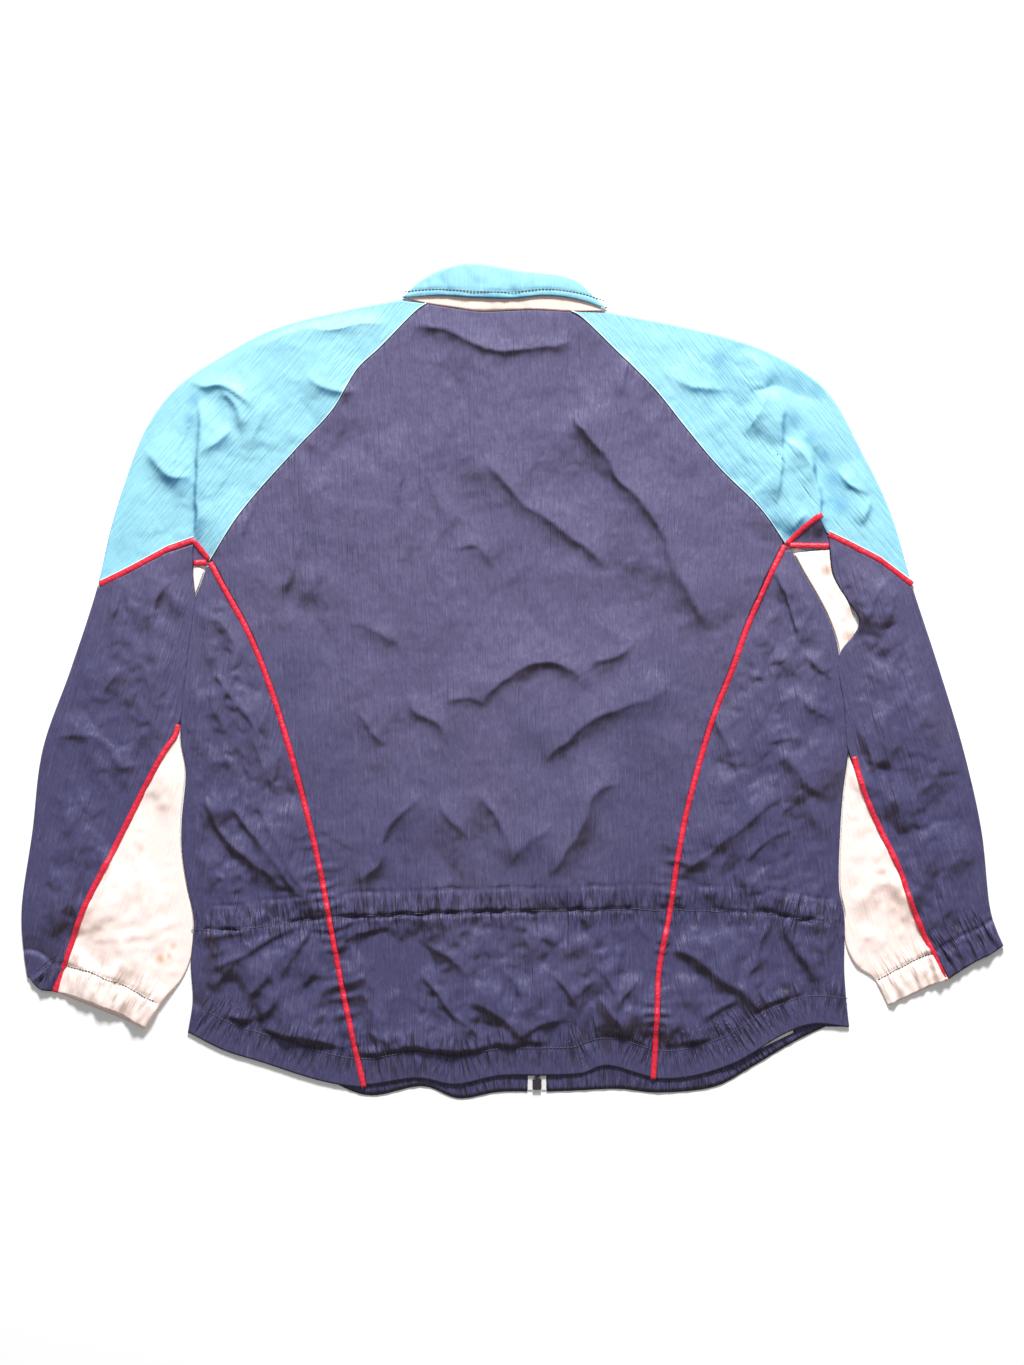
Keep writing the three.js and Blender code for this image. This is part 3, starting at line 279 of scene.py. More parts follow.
waist = smooth(plan([(183, 927), (225, 927), (262, 923), (300, 918), (330, 915), (361, 914), (430, 911),
                     (520, 909), (600, 907), (660, 907), (700, 908), (747, 909), (775, 911), (800, 917),
                     (812, 918), (842, 921)]))

# Creases as laid: height of the crest, width of the steep side, width of the gentle side, and the middle of
# the steep side, in mm right and down from the view's corner. The crest is on the left of its direction.
creases = [
    (5.0, 12, 20, [(402, 332), (445, 337), (479, 352), (508, 357), (548, 354), (580, 347)]),
    (6.5, 15, 26, [(560, 415), (594, 455), (617, 489), (646, 518), (660, 547), (669, 575), (692, 613),
                   (702, 636)]),
    (5.0, 14, 22, [(471, 461), (499, 487), (522, 512), (548, 527), (568, 544), (588, 558), (603, 578)]),
    (2.0, 8, 14, [(422, 415), (425, 461), (430, 495), (453, 530)]),
    (2.5, 9, 14, [(453, 553), (473, 550), (491, 573)]),
    (6.0, 13, 22, [(481, 713), (509, 684), (528, 673), (551, 667), (570, 678), (579, 697)]),
    (3.0, 11, 15, [(440, 707), (471, 703), (487, 714)]),
    (4.5, 11, 18, [(582, 670), (611, 665), (646, 643)]),
    (7.0, 14, 24, [(545, 770), (583, 735), (602, 723), (630, 713), (653, 707), (681, 684)]),
    (7.0, 14, 24, [(548, 882), (573, 856), (589, 825), (605, 796), (627, 786)]),
    (6.0, 13, 22, [(355, 890), (385, 866), (388, 841), (404, 821), (430, 796)]),
    (5.0, 12, 20, [(430, 798), (439, 815), (455, 834), (474, 845)]),
    (5.0, 12, 18, [(470, 792), (496, 828), (506, 856), (512, 872)]),
    (5.0, 11, 16, [(510, 872), (528, 850), (562, 832)]),
    (3.5, 11, 18, [(404, 684), (410, 713), (430, 726), (449, 751)]),
    (3.5, 11, 18, [(348, 706), (369, 739), (388, 753)]),
    (3.0, 18, 26, [(340, 630), (375, 640), (405, 655)]),
    (3.0, 12, 20, [(210, 732), (232, 697), (248, 652)]),
    (6.5, 13, 22, [(196, 790), (219, 841), (248, 866), (284, 900)]),
    (3.5, 11, 16, [(290, 790), (282, 820), (278, 846)]),
    (2.5, 9, 16, [(308, 560), (302, 585), (296, 608)]),
    (2.0, 9, 18, [(303, 461), (308, 510), (306, 560)]),
    (1.6, 7, 12, [(449, 570), (450, 604), (452, 640)]),
    (4.5, 11, 18, [(203, 964), (226, 956), (239, 948)]),
    (6.0, 10, 16, [(210, 997), (226, 983), (242, 962)]),
    (6.5, 9, 15, [(302, 997), (316, 975), (318, 946), (326, 934)]),
    (8.0, 10, 16, [(278, 996), (296, 959), (312, 937), (319, 914)]),
    (9.0, 11, 20, [(255, 1029), (275, 1007), (290, 984)]),
    (6.0, 8, 14, [(220, 1018), (240, 1023), (258, 1025)]),
    (6.0, 9, 14, [(259, 1030), (272, 1037), (298, 1039), (329, 1048), (349, 1056)]),
    (3.0, 8, 12, [(343, 984), (368, 984)]),
    (3.5, 8, 12, [(361, 1033), (378, 1042), (392, 1054)]),
    (6.0, 11, 18, [(409, 970), (433, 994), (448, 1014), (466, 1031), (484, 1046)]),
    (7.0, 10, 18, [(462, 1002), (499, 1021), (514, 1036), (526, 1048)]),
    (6.0, 9, 15, [(520, 1047), (538, 1029), (570, 1022)]),
    (7.0, 11, 18, [(593, 996), (616, 1026), (629, 1047)]),
    (4.0, 9, 14, [(587, 964), (609, 986), (618, 1012)]),
    (4.5, 9, 14, [(616, 1014), (626, 998), (648, 978)]),
    (4.0, 9, 15, [(489, 960), (516, 996), (525, 1016)]),
    (8.0, 11, 20, [(672, 948), (703, 971), (723, 986), (743, 999), (759, 1018)]),
    (4.0, 9, 14, [(672, 968), (681, 1003), (689, 1018)]),
    (6.0, 10, 17, [(776, 912), (786, 943), (802, 966), (820, 992)]),
    (6.0, 10, 17, [(747, 986), (758, 958), (763, 941), (777, 918)]),
    (3.0, 8, 12, [(777, 968), (783, 992)]),
    (3.0, 8, 12, [(806, 918), (813, 938)]),
    (3.5, 8, 12, [(822, 906), (836, 914), (841, 924)]),
    (3.0, 8, 12, [(804, 941), (823, 960)]),
    (2.5, 8, 12, [(664, 950), (679, 934)]),
    (3.0, 8, 12, [(672, 952), (692, 961)]),
    (7.5, 9, 16, [(172, 372), (198, 389), (226, 393), (256, 416)]),
    (5.5, 9, 12, [(214, 390), (232, 408), (237, 438)]),
    (5.5, 10, 16, [(196, 462), (222, 448), (240, 428)]),
    (7.5, 12, 16, [(130, 444), (150, 466), (168, 484), (196, 482)]),
    (6.5, 20, 24, [(190, 386), (242, 362), (302, 340), (395, 333)]),
    (4.5, 10, 14, [(298, 372), (316, 390), (346, 398), (366, 390)]),
    (3.0, 12, 18, [(254, 465), (264, 430), (280, 394)]),
    (3.5, 10, 14, [(120, 536), (134, 506), (151, 482)]),
    (3.0, 10, 14, [(104, 560), (118, 532), (124, 500)]),
    (6.0, 3.5, 18, [(198, 392), (199, 424), (197, 480), (195, 548)]),
    (-9.0, 9, 15, [(748, 394), (762, 396), (780, 390), (800, 398), (817, 401), (836, 410)]),
    (7.0, 14, 14, [(735, 345), (757, 382), (753, 407), (735, 436)]),
    (6.0, 6, 15, [(778, 512), (783, 466), (784, 436), (785, 412), (780, 386)]),
    (9.0, 9, 20, [(826, 545), (823, 512), (820, 488), (812, 462), (800, 445), (781, 432)]),
    (-5.0, 14, 10, [(836, 520), (833, 490), (826, 464), (812, 440)]),
    (5.0, 12, 14, [(838, 396), (842, 430), (852, 470), (866, 505)]),
    (6.0, 9, 13, [(832, 470), (850, 490), (874, 501)]),
    (5.0, 8, 12, [(862, 530), (870, 512), (876, 494)]),
    (3.5, 9, 14, [(790, 540), (803, 522), (812, 516)]),
    (3.0, 10, 14, [(655, 375), (690, 392), (730, 396)]),
    (3.0, 8, 16, [(826, 668), (838, 650), (850, 628), (861, 615)]),
    (4.0, 11, 18, [(43, 748), (70, 742), (97, 744), (122, 774), (150, 765)]),
    (2.5, 9, 14, [(63, 775), (78, 802), (93, 832)]),
    (3.0, 11, 18, [(38, 815), (46, 880), (55, 953)]),
    (2.5, 9, 14, [(145, 628), (152, 660), (158, 698)]),
    (3.5, 9, 14, [(881, 575), (878, 600), (885, 632)]),
    (3.5, 9, 14, [(889, 634), (896, 604), (904, 580)]),
    (3.5, 12, 18, [(900, 650), (905, 700), (907, 760), (908, 807), (921, 880)]),
    (2.5, 9, 14, [(940, 820), (945, 850), (950, 882)]),
    (2.0, 9, 16, [(127, 828), (133, 879), (158, 950)]),
    (2.0, 8, 12, [(206, 610), (219, 612), (232, 606)]),
    (2.5, 8, 12, [(200, 606), (208, 596), (217, 580)]),
    (4.5, 8, 14, [(222, 802), (246, 832), (272, 866), (302, 904)]),
    (4.0, 8, 12, [(254, 806), (270, 840), (288, 872), (306, 902)]),
    (6.0, 9, 14, [(204, 978), (240, 962), (276, 940), (314, 926)]),
    (6.0, 9, 14, [(238, 1008), (262, 988), (286, 960), (315, 936)]),
    (5.0, 8, 12, [(196, 948), (226, 938), (262, 932)]),
    (6.0, 12, 20, [(676, 884), (705, 863), (735, 838), (762, 815), (788, 800)]),
    (5.0, 12, 16, [(742, 876), (762, 852), (784, 838), (802, 832)]),
    (5.0, 10, 14, [(765, 745), (788, 770), (806, 790), (832, 802)]),
    (4.0, 9, 13, [(760, 747), (788, 743), (814, 740)]),
    (5.0, 12, 16, [(788, 690), (808, 713), (836, 728)]),
    (4.0, 9, 13, [(794, 650), (812, 670), (838, 690)]),
    (4.0, 9, 14, [(706, 705), (720, 738), (742, 790)]),
    (4.0, 9, 13, [(226, 700), (246, 722), (262, 748)]),
    (4.0, 9, 13, [(204, 668), (222, 690), (240, 716)]),
    (5.0, 12, 18, [(866, 700), (880, 748), (890, 800), (896, 852)]),
    (4.5, 10, 14, [(852, 722), (866, 760), (878, 800)]),
    (4.0, 9, 13, [(96, 700), (112, 690), (130, 668)]),
    (4.5, 11, 16, [(66, 842), (82, 822), (96, 790)]),
    (4.5, 9, 14, [(330, 960), (352, 942), (380, 934), (402, 938)]),
    (5.0, 9, 14, [(536, 968), (560, 990), (578, 1016)]),
    (4.5, 9, 14, [(420, 946), (446, 962), (470, 986)]),
    (5.0, 9, 14, [(700, 1030), (722, 1012), (748, 1004)]),
    (3.5, 5, 12, [(298, 576), (305, 530), (308, 480), (303, 442)]),
    (3.5, 5, 10, [(318, 604), (325, 560), (326, 515), (321, 466)]),
    (3.0, 5, 9, [(286, 606), (292, 580), (296, 548)]),
    (3.0, 5, 9, [(240, 560), (246, 530), (262, 494)]),
    (3.0, 5, 10, [(398, 512), (404, 470), (400, 430)]),
    (2.5, 5, 9, [(352, 560), (356, 520), (354, 480)]),
    (3.0, 5, 9, [(622, 402), (626, 378), (634, 352)]),
    (3.0, 5, 9, [(752, 620), (762, 590), (772, 560)]),
    (4.0, 6, 11, [(766, 560), (780, 590), (792, 622), (800, 650)]),
    (4.5, 7, 12, [(872, 632), (876, 604), (888, 580)]),
    (4.0, 7, 12, [(112, 640), (120, 610), (132, 582)]),
    (4.0, 7, 12, [(150, 640), (158, 606), (176, 580)]),
]


def crease_height(x, y, height, band, slope, path):
    """Height that one crease adds: a wavering crest with a steep and a gentle side, faded out at its ends."""
    line = smooth(plan(path), 5)
    reach = 3.4 * slope + 2 * band
    low, high = line.min(0) - reach, line.max(0) + reach
    near = (x > low[0]) & (x < high[0]) & (y > low[1]) & (y < high[1])
    out = np.zeros(x.shape)
    if not near.any():
        return out
    px, py = x[near], y[near]
    away, place = nearest(line, px, py)
    away = away + 1.4 * wander(px, py, 19, 7) + 0.6 * wander(px, py, 7, 8)
    band = band * (0.95 + 0.35 * wander(px, py, 24, 9))
    total = span(line)[-1]
    fade = ease(np.minimum(place, total - place) / min(30, 0.4 * total))
    crest = away - band / 2
    gentle = np.exp(-np.abs(crest) / slope)
    steep = np.exp(-np.abs(crest) * 1.9 / band)
    out[near] = 1.25 * height * fade * np.where(crest > 0, gentle, steep)
    return out


def gathers(away, place, pitch, height, reach, seed):
    """Pleats across a gathered line, uneven in place, height, width and length."""
    rng = np.random.default_rng(seed)
    out = np.zeros(away.shape)
    at = rng.uniform(0, pitch)
    while at < place.max() + pitch:
        tall = height * rng.uniform(0.35, 1)
        wide = rng.uniform(2.4, 4.2)
        length = reach * rng.uniform(0.5, 1.3)
        lean = rng.uniform(-0.25, 0.25)
        out += tall * np.exp(-((place - at - lean * away) / wide) ** 2) * np.exp(-(away / length) ** 2)
        at += pitch * rng.uniform(0.55, 1.5)
    return out


# Edges at which the cloth is held down, and over how many mm it comes free of them.
held_edges = [(outer_left, 22), (outer_right, 22), (body_left, 13), (body_right, 13)]
# What lifts the back: the collar's layers, the zip's slider, the zip, the lining at the hem.
lifted = [(0, 345, 105, 45, 3.9), (25, 330, 8, 34, 8.1), (25, -30, 12, 400, 3.7), (258, -356, 32, 20, 4.7)]


# Crumpling of the cloth: the size of its facets, their height and their seed.
crumples = ((31, 2.2, 3), (14, 1.1, 4), (7, 0.5, 5))


def crushed(x, y):
    """How strongly the cloth is crumpled: most below the waist, then the side panels and the sleeves."""
    inner_left = np.interp(-y, -princess_left[:, 1], princess_left[:, 0])
    inner_right = np.interp(-y, -princess_right[:, 1], princess_right[:, 0])
    side = np.maximum(ease((inner_left - x) / 30), ease((x - inner_right) / 30)) * ease((130 - y) / 60)
    return 0.7 + 1.9 * ease((-200 - y) / 50) * (1 - side) + 1.7 * side


def relief(x, y):
    """Height, in mm, of the upper layer of cloth over the floor."""
    from_edges = [np.maximum(0, np.abs(nearest(line[::6], x, y)[0]) - 1.3) / reach
                  for line, reach in held_edges]
    free = 1 - np.exp(-np.min(from_edges, axis=0))
    hem_away, hem_place = nearest(hem_back[::3], x, y)
    body = np.abs(x) < body_half
    hem_away = np.where(body, np.abs(hem_away), 1e3)
    above_hem = hem_away - casing + 2.2 * wander(x, y, 16, 13)
    waist_away, waist_place = nearest(waist[::3], x, y)
    waist_away = np.where(body & (np.abs(waist_away) < 200), waist_away, 1e3)
    waist_away = waist_away + 1.5 * wander(x, y, 9, 14)
    swell = puff * (0.5 + 0.5 * (1 - np.exp(-hem_away / 50))) + 1.2
    for crease in creases:
        swell = swell + crease_height(x, y, *crease)
    crumple = sum(tall * facets(x, 0.7 * y, cell, seed) for cell, tall, seed in crumples)
    swell = swell + 2.6 * facets(x, y, 70, 2) + crumple * crushed(x, y)
    swell = swell * free * (0.12 + 0.88 * ease(above_hem / 6))
    swell = highest_fold * np.tanh(np.maximum(swell, 0.15 * swell) / highest_fold)
    height = back_level + swell
    height += gathers(waist_away - 6, waist_place, 9, 2.6, 22, 11) * free
    for line, depth in ((-3, 3.4), (21, 0.9)):
        height -= depth * (1 + wander(x, y, 13, 17)) * np.exp(-((waist_away - line) / 1.6) ** 2) * free
    height += gathers(hem_away - 14, hem_place, 14, 1.8, 17, 12)
    for line, seed in ((princess_left, 15), (princess_right, 16)):
        away, place = nearest(line[::4], x, y)
        pucker = gathers(np.abs(away) - piping_half, place, 11, 2.8, 12, seed)
        height += pucker * ease((-120 - y) / 90) * ease(above_hem / 6)
    for line in (raglan_left, raglan_right):
        height -= 0.5 * np.exp(-(nearest(line[::5], x, y)[0] / 1.6) ** 2)
    for mx, my, half_x, half_y, level in lifted:
        inside = (1 - ease((np.abs(x - mx) - half_x) / 34)) * (1 - ease((np.abs(y - my) - half_y) / 34))
        height = 0.7 * np.logaddexp(height / 0.7, (back_level + (level - back_level) * inside) / 0.7) - 0.2
    return np.maximum(height, back_level - 0.2)


def patch(left, right, top, bottom):
    """Grid of plan points between four edges. The top and bottom are drawn to the ends of the sides."""
    s = np.linspace(0, 1, len(top))[:, None]
    top = top + (1 - s) * (left[0] - top[0]) + s * (right[0] - top[-1])
    bottom = bottom + (1 - s) * (left[-1] - bottom[0]) + s * (right[-1] - bottom[-1])
    u = np.linspace(0, 1, len(left))[:, None, None]
    s = s[None]
    sides = (1 - s) * left[:, None] + s * right[:, None]
    ends = (1 - u) * top[None] + u * bottom[None]
    corners = (1 - u) * ((1 - s) * top[0] + s * top[-1]) + u * ((1 - s) * bottom[0] + s * bottom[-1])
    return sides + ends - corners


def with_height(grid, height=relief):
    """A plan grid with the cloth's height at each point."""
    x, y = grid[..., 0].ravel(), grid[..., 1].ravel()
    return np.dstack([grid, height(x, y).reshape(grid.shape[:2])])


def turned(grid, under, at_left):
    """Adds the cloth's turn round an outer edge and its under layer, which ends at the points of under."""
    under_level, out = 0.45, 1.9
    edge = grid[:, 0] if at_left else grid[:, -1]
    side = moved(edge[:, :2], -1.0 if at_left else 1.0) - edge[:, :2]
    middle = (edge[:, 2] + under_level) / 2
    radius = (edge[:, 2] - under_level) / 2
    columns = []
    for angle in np.radians([36, 72, 108, 144, 180]):
        turn = edge[:, :2] + side * out * math.sin(angle)
        columns.append(np.column_stack([turn, middle + radius * math.cos(angle)]))
    level = np.full(len(edge), under_level)
    for share in np.linspace(0, 1, 9)[1:]:
        columns.append(np.column_stack([edge[:, :2] * (1 - share) + under * share, level]))
    added = np.stack(columns, 1)
    return np.concatenate([added[:, ::-1], grid], 1) if at_left else np.concatenate([grid, added], 1)


def cloth_mesh(name, points, faces, material, grain, elastics=()):
    """Smooth mesh of points in mm, with UV maps in metres along the cloth's grain and along its elastics.

    An elastic is a line in plan and how far from it the cloth is held."""
    mesh = bpy.data.meshes.new(name)
    mesh.from_pydata((points / 1000).tolist(), [], faces)
    turn = math.radians(grain)
    plane = points[:, :2] @ np.array([[math.cos(turn), -math.sin(turn)], [math.sin(turn), math.cos(turn)]])
    gather = np.full((len(points), 2), 999.0)
    for line, held in elastics:
        away, along = nearest(line[::3], points[:, 0], points[:, 1])
        away = np.abs(away) - held
        closer = np.abs(away) < np.abs(gather[:, 1])
        gather[closer] = np.column_stack([along, away])[closer]
    corners = np.empty(len(mesh.loops), int)
    mesh.loops.foreach_get("vertex_index", corners)
    for key, uv in (("grain", plane), ("gather", gather)):
        mesh.uv_layers.new(name=key).data.foreach_set("uv", (uv[corners] / 1000).ravel())
    mesh.shade_smooth()
    mesh.materials.append(material)
    piece = bpy.data.objects.new(name, mesh)
    scene.collection.objects.link(piece)
    return piece


def quads(grid):
    """Numbers of a grid's points, and the faces between them, which look up."""
    index = np.arange(grid[..., 0].size).reshape(grid.shape[:2])
    faces = np.stack([index[1:, :-1], index[1:, 1:], index[:-1, 1:], index[:-1, :-1]], -1)
    return index, faces.reshape(-1, 4).tolist()


def cloth_piece(name, grid, material, grain=0.0, elastics=(), thickness=cloth):
    """Sheet from rows of points in mm, thickened to a thin wall."""
    piece = cloth_mesh(name, grid.reshape(-1, 3), quads(grid)[1], material, grain, elastics)
    wall = piece.modifiers.new("thickness", "SOLIDIFY")
    wall.thickness = thickness / 1000
    wall.offset = 0
    return piece


def shell(name, grid, material, elastics):
    """Closed shell of fine cloth: its upper side is the grid, its hidden under side a coarser one below."""
    wall, stride = 1.0, 6
    rows, columns = grid.shape[:2]
    below = grid[..., 2]
    for axis in (0, 1):
        padded = np.pad(below, [(stride, stride) if a == axis else (0, 0) for a in (0, 1)], mode="edge")
        below = np.min([np.take(padded, range(k, k + below.shape[axis]), axis)
                        for k in range(2 * stride + 1)], 0)
    i, j = np.arange(0, rows, stride), np.arange(0, columns, stride)
    under = np.dstack([grid[np.ix_(i, j)][..., :2], below[np.ix_(i, j)] - wall])
    index, faces = quads(grid)
    low = index.size + quads(under)[0]
    faces += np.stack([low[:-1, :-1], low[:-1, 1:], low[1:, 1:], low[1:, :-1]], -1).reshape(-1, 4).tolist()
    for fine, coarse in ((index[0], low[0]), (index[::-1, 0], low[::-1, 0]),
                         (index[-1, ::-1], low[-1, ::-1]), (index[:, -1], low[:, -1])):
        for k in range(len(coarse) - 1):
            edge = fine[k * stride:(k + 1) * stride + 1].tolist()
            faces.append(edge + [int(coarse[k + 1]), int(coarse[k])])
    points = np.vstack([grid.reshape(-1, 3), under.reshape(-1, 3)])
    return cloth_mesh(name, points, faces, material, 0, elastics)


def crinkled_nylon(name, lit, painted_shade, painted_paler_top, pale, depth, stains_and_painted_shade=()):
    """Plain-weave nylon, crushed in finishing: fine crinkles and faint streaks along the warp, low lustre.

    Faces that turn from the window, and steep faces, are painted in the shade colour: painted shade added to
    the real shading. The colour is also painted paler towards the top and middle and darker towards the
    bottom and sides, a painted fall-off of the light. Fine pleats fan out from the elastic; their hollows get
    painted shade. Spots given with their colours tint the cloth round them."""
    material, tree = new_material(name)
    grain = add(tree, "ShaderNodeUVMap", uv_map="grain").outputs["UV"]
    place = add(tree, "ShaderNodeTexCoord")
    at = add(tree, "ShaderNodeSeparateXYZ", {"Vector": place.outputs["Object"]}).outputs
    slope = add(tree, "ShaderNodeSeparateXYZ", {"Vector": place.outputs["Normal"]}).outputs

    def pattern(along, size, detail, roughness=0.55):
        """Uneven pattern with so many spots a metre in each direction."""
        scaled = add(tree, "ShaderNodeMapping", {"Vector": along, "Scale": size}).outputs["Vector"]
        return add(tree, "ShaderNodeTexNoise", {"Vector": scaled, "Scale": 1.0, "Detail": detail,
                                                "Roughness": roughness}).outputs["Fac"]

    def sum_of(first, *terms):
        """The first value plus each other one times its weight."""
        for value, weight in terms:
            first = add(tree, "ShaderNodeMath", {0: value, 1: weight, 2: first},
                        operation="MULTIPLY_ADD").outputs[0]
        return first

    def lines(along, size):
        """Pattern of thin lines, where an uneven one passes through its middle."""
        centred = sum_of(-0.5, (pattern(along, size, 2.0), 1.0))
        return add(tree, "ShaderNodeMath", {0: centred}, operation="ABSOLUTE").outputs[0]

    def dyed(under, over, value, start, end, most=1.0):
        """One colour over another, from where a value is at start to where it is at end."""
        share = add(tree, "ShaderNodeMapRange", {"Value": value, "From Min": start, "From Max": end,
                                                 "To Max": most}, interpolation_type="SMOOTHSTEP")
        return add(tree, "ShaderNodeMix", {"Factor": share.outputs["Result"], "A": under, "B": over},
                   data_type="RGBA").outputs["Result"]

    cloudy = pattern(place.outputs["Object"], (11, 11, 11), 3.0)
    streaks = pattern(grain, (640, 24, 1), 3.0, 0.6)
    crinkles = pattern(grain, (240, 48, 1), 5.0, 0.7)
    cracks = lines(place.outputs["Object"], (95, 42, 95))
    hairs = lines(grain, (190, 17, 1))
    # Painted light: paler towards the top and middle, darker towards the bottom and sides, for the light's
    # fall-off.
    outward = add(tree, "ShaderNodeMath", {0: at["X"]}, operation="ABSOLUTE").outputs[0]
    low = sum_of(cloudy, (at["Y"], -2.2), (outward, 1.4))
    ground = dyed(linear(painted_paler_top), linear(lit), low, 0.45, 1.35)
    # Painted shade: faces turned from the window, and steep faces, take the shade colour.
    lean = sum_of(cloudy, (slope["Y"], 2.2), (slope["Z"], 3.0), (cloudy, 1.6))
    ground = dyed(linear(painted_shade), ground, lean, 3.0, 4.25)
    ground = dyed(ground, linear(pale), streaks, 0.52, 0.8, 0.4)
    # Spots: painted shade beside the folds on the sky-blue nylon, stains and darker spots on the cream.
    for spot, size, colour in stains_and_painted_shade:
        off = add(tree, "ShaderNodeVectorMath", {0: place.outputs["Object"], 1: spot}, operation="DISTANCE")
        near = sum_of(off.outputs["Value"], (crinkles, 0.6 * size))
        ground = dyed(ground, linear(colour), near, 1.3 * size, 0.3 * size, 0.8)
    gather = add(tree, "ShaderNodeUVMap", uv_map="gather").outputs["UV"]
    from_elastic = add(tree, "ShaderNodeSeparateXYZ", {"Vector": gather}).outputs["Y"]
    away = add(tree, "ShaderNodeMath", {0: from_elastic}, operation="ABSOLUTE").outputs[0]
    held = add(tree, "ShaderNodeMapRange", {"Value": away, "From Min": 0.032, "From Max": 0.0},
               interpolation_type="SMOOTHSTEP").outputs["Result"]
    pleats = sum_of(-0.5, (pattern(gather, (230, 26, 1), 2.0), 1.0))
    pleats = add(tree, "ShaderNodeMath", {0: pleats, 1: held}, operation="MULTIPLY").outputs[0]
    # Painted shade: the pleats' hollows are darkened in the shade colour.
    ground = dyed(ground, linear(painted_shade), pleats, -0.015, -0.11, 0.7)
    fine = sum_of(pleats, (crinkles, 0.1), (streaks, 0.08), (cracks, -0.16), (hairs, -0.34))
    bump = add(tree, "ShaderNodeBump", {"Height": fine, "Distance": 5.5 * depth})
    shader = add(tree, "ShaderNodeBsdfPrincipled", {
        "Base Color": ground, "Roughness": 0.5, "Sheen Weight": 0.05, "Sheen Roughness": 0.4,
        "Specular IOR Level": 0.4, "Normal": bump.outputs["Normal"]})
    add(tree, "ShaderNodeOutputMaterial", {"Surface": shader.outputs["BSDF"]})
    return material


def finish_sheet(piece, slot, node, flat, area, rests_on):
    """Rides on the jacket and stands for its solid."""
    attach(piece, "jacket")
    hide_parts(node)


# Colours of each nylon: lit, painted shade, painted paler top, pale streaks; then the bump's depth.
navy = crinkled_nylon("navy_nylon", "464369", "352c3d", "5b5678", "7b7694", 0.002)
body_elastics = ((waist, 0), (hem_back, casing))
upper_rows, lower_rows, centre_columns = 138, 246, 228
centre_left = joined(run(raglan_left, None, None, upper_rows, 0.2),
                     run(princess_left, 119, -403, lower_rows, piping_half - 0.5))
centre_right = joined(run(raglan_right, None, None, upper_rows, -0.2),
                      run(princess_right, 136, -395, lower_rows, 0.5 - piping_half))
centre = patch(centre_left, centre_right, spread(neck_back, centre_columns),
               stretch(hem_back, centre_columns, -145, 138))
back_centre = shell("back_centre_panel", with_height(centre), navy, body_elastics)
finish_sheet(back_centre, "navy_nylon", "back_centre", (0.59, 0.8), 0.31,
             ["front_left_panel", "front_right_panel"])

# Back side panels: navy nylon beyond the piped seams, turned round the side of the body to the side seam,
# with the same elastic at waist and hem.
# way is 1 where a piece's outer edge is on its left and -1 where it is on its right.
side_rows, side_columns = 240, 76
side_seam = {
    "left": smooth([(-290, 104), (-302, -120), (-302, -350)]),
    "right": smooth([(276, 122), (309, -110), (314, -344)]),
}
for side, way, princess, body, tops, hem_ends, cut in (
        ("left", 1, princess_left, body_left, (116, 118), (-322, -151), ((0.2, 0.53), 0.068)),
        ("right", -1, princess_right, body_right, (133, 133), (144, 335), ((0.21, 0.54), 0.081))):
    outline = run(body, tops[0], None, side_rows, 2.0 * way)
    piped = run(princess, tops[1], None, side_rows, (0.5 - piping_half) * way)
    rails = (outline, piped)[::way]
    top = np.linspace(rails[0][0], rails[1][0], side_columns + 1)
    upper = with_height(patch(*rails, top, stretch(hem_back, side_columns, *hem_ends)))
    grid = turned(upper, spread(side_seam[side], side_rows), way == 1)
    piece = cloth_piece(f"back_side_panel_{side}", grid, navy, -8 * way, body_elastics)
    finish_sheet(piece, "navy_nylon", f"back_side_{side}", *cut, [f"front_{side}_panel"])

# Raglan yokes: sky-blue nylon over the shoulder, from the neck to the piped seam of the sleeve, turned round
# the outer edge and carried back under it to the raglan seam.
# Painted shade: beside the shoulders' folds the cloth is painted a deeper blue, where it lies in their shade:
# places in metres, sizes and colours.
sky = crinkled_nylon("sky_nylon", "8acfec", "4a8cb2", "90cbdc", "bfe8f0", 0.001, [
    ((0.326, 0.178, 0.006), 0.019, "66a8c8"), ((0.322, 0.203, 0.006), 0.017, "66a8c8"),
    ((0.311, 0.226, 0.006), 0.014, "66a8c8"), ((0.297, 0.243, 0.006), 0.011, "66a8c8"),
    ((0.262, 0.302, 0.006), 0.020, "70acc4"), ((0.284, 0.298, 0.006), 0.022, "70acc4"),
    ((0.304, 0.291, 0.006), 0.015, "70acc4"), ((0.281, 0.262, 0.006), 0.011, "62a0c0"),
    ((-0.318, 0.283, 0.008), 0.012, "62a0c0"), ((-0.322, 0.262, 0.008), 0.010, "62a0c0")])
piping_path = {
    "left": np.array([(-412, 98), (-381, 113), (-344, 133), (-318, 142), (-304.5, 125), (-303, 123)], float),
    "right": np.array([(274, 138), (278, 142), (290, 154), (309, 168), (316, 148), (337, 138), (368, 122),
                       (400, 98)], float),
}
yoke_cord = {"left": piping_path["left"][:4], "right": piping_path["right"][4:]}
sleeve_outer = {"left": outer_left, "right": outer_right}
raglan = {"left": raglan_left, "right": raglan_right}
sides = (("left", 1), ("right", -1))


def path_points(path, count, lift):
    """Even points along straight pieces, lifted in Y."""
    return spread(path, count) + np.array([0, lift])


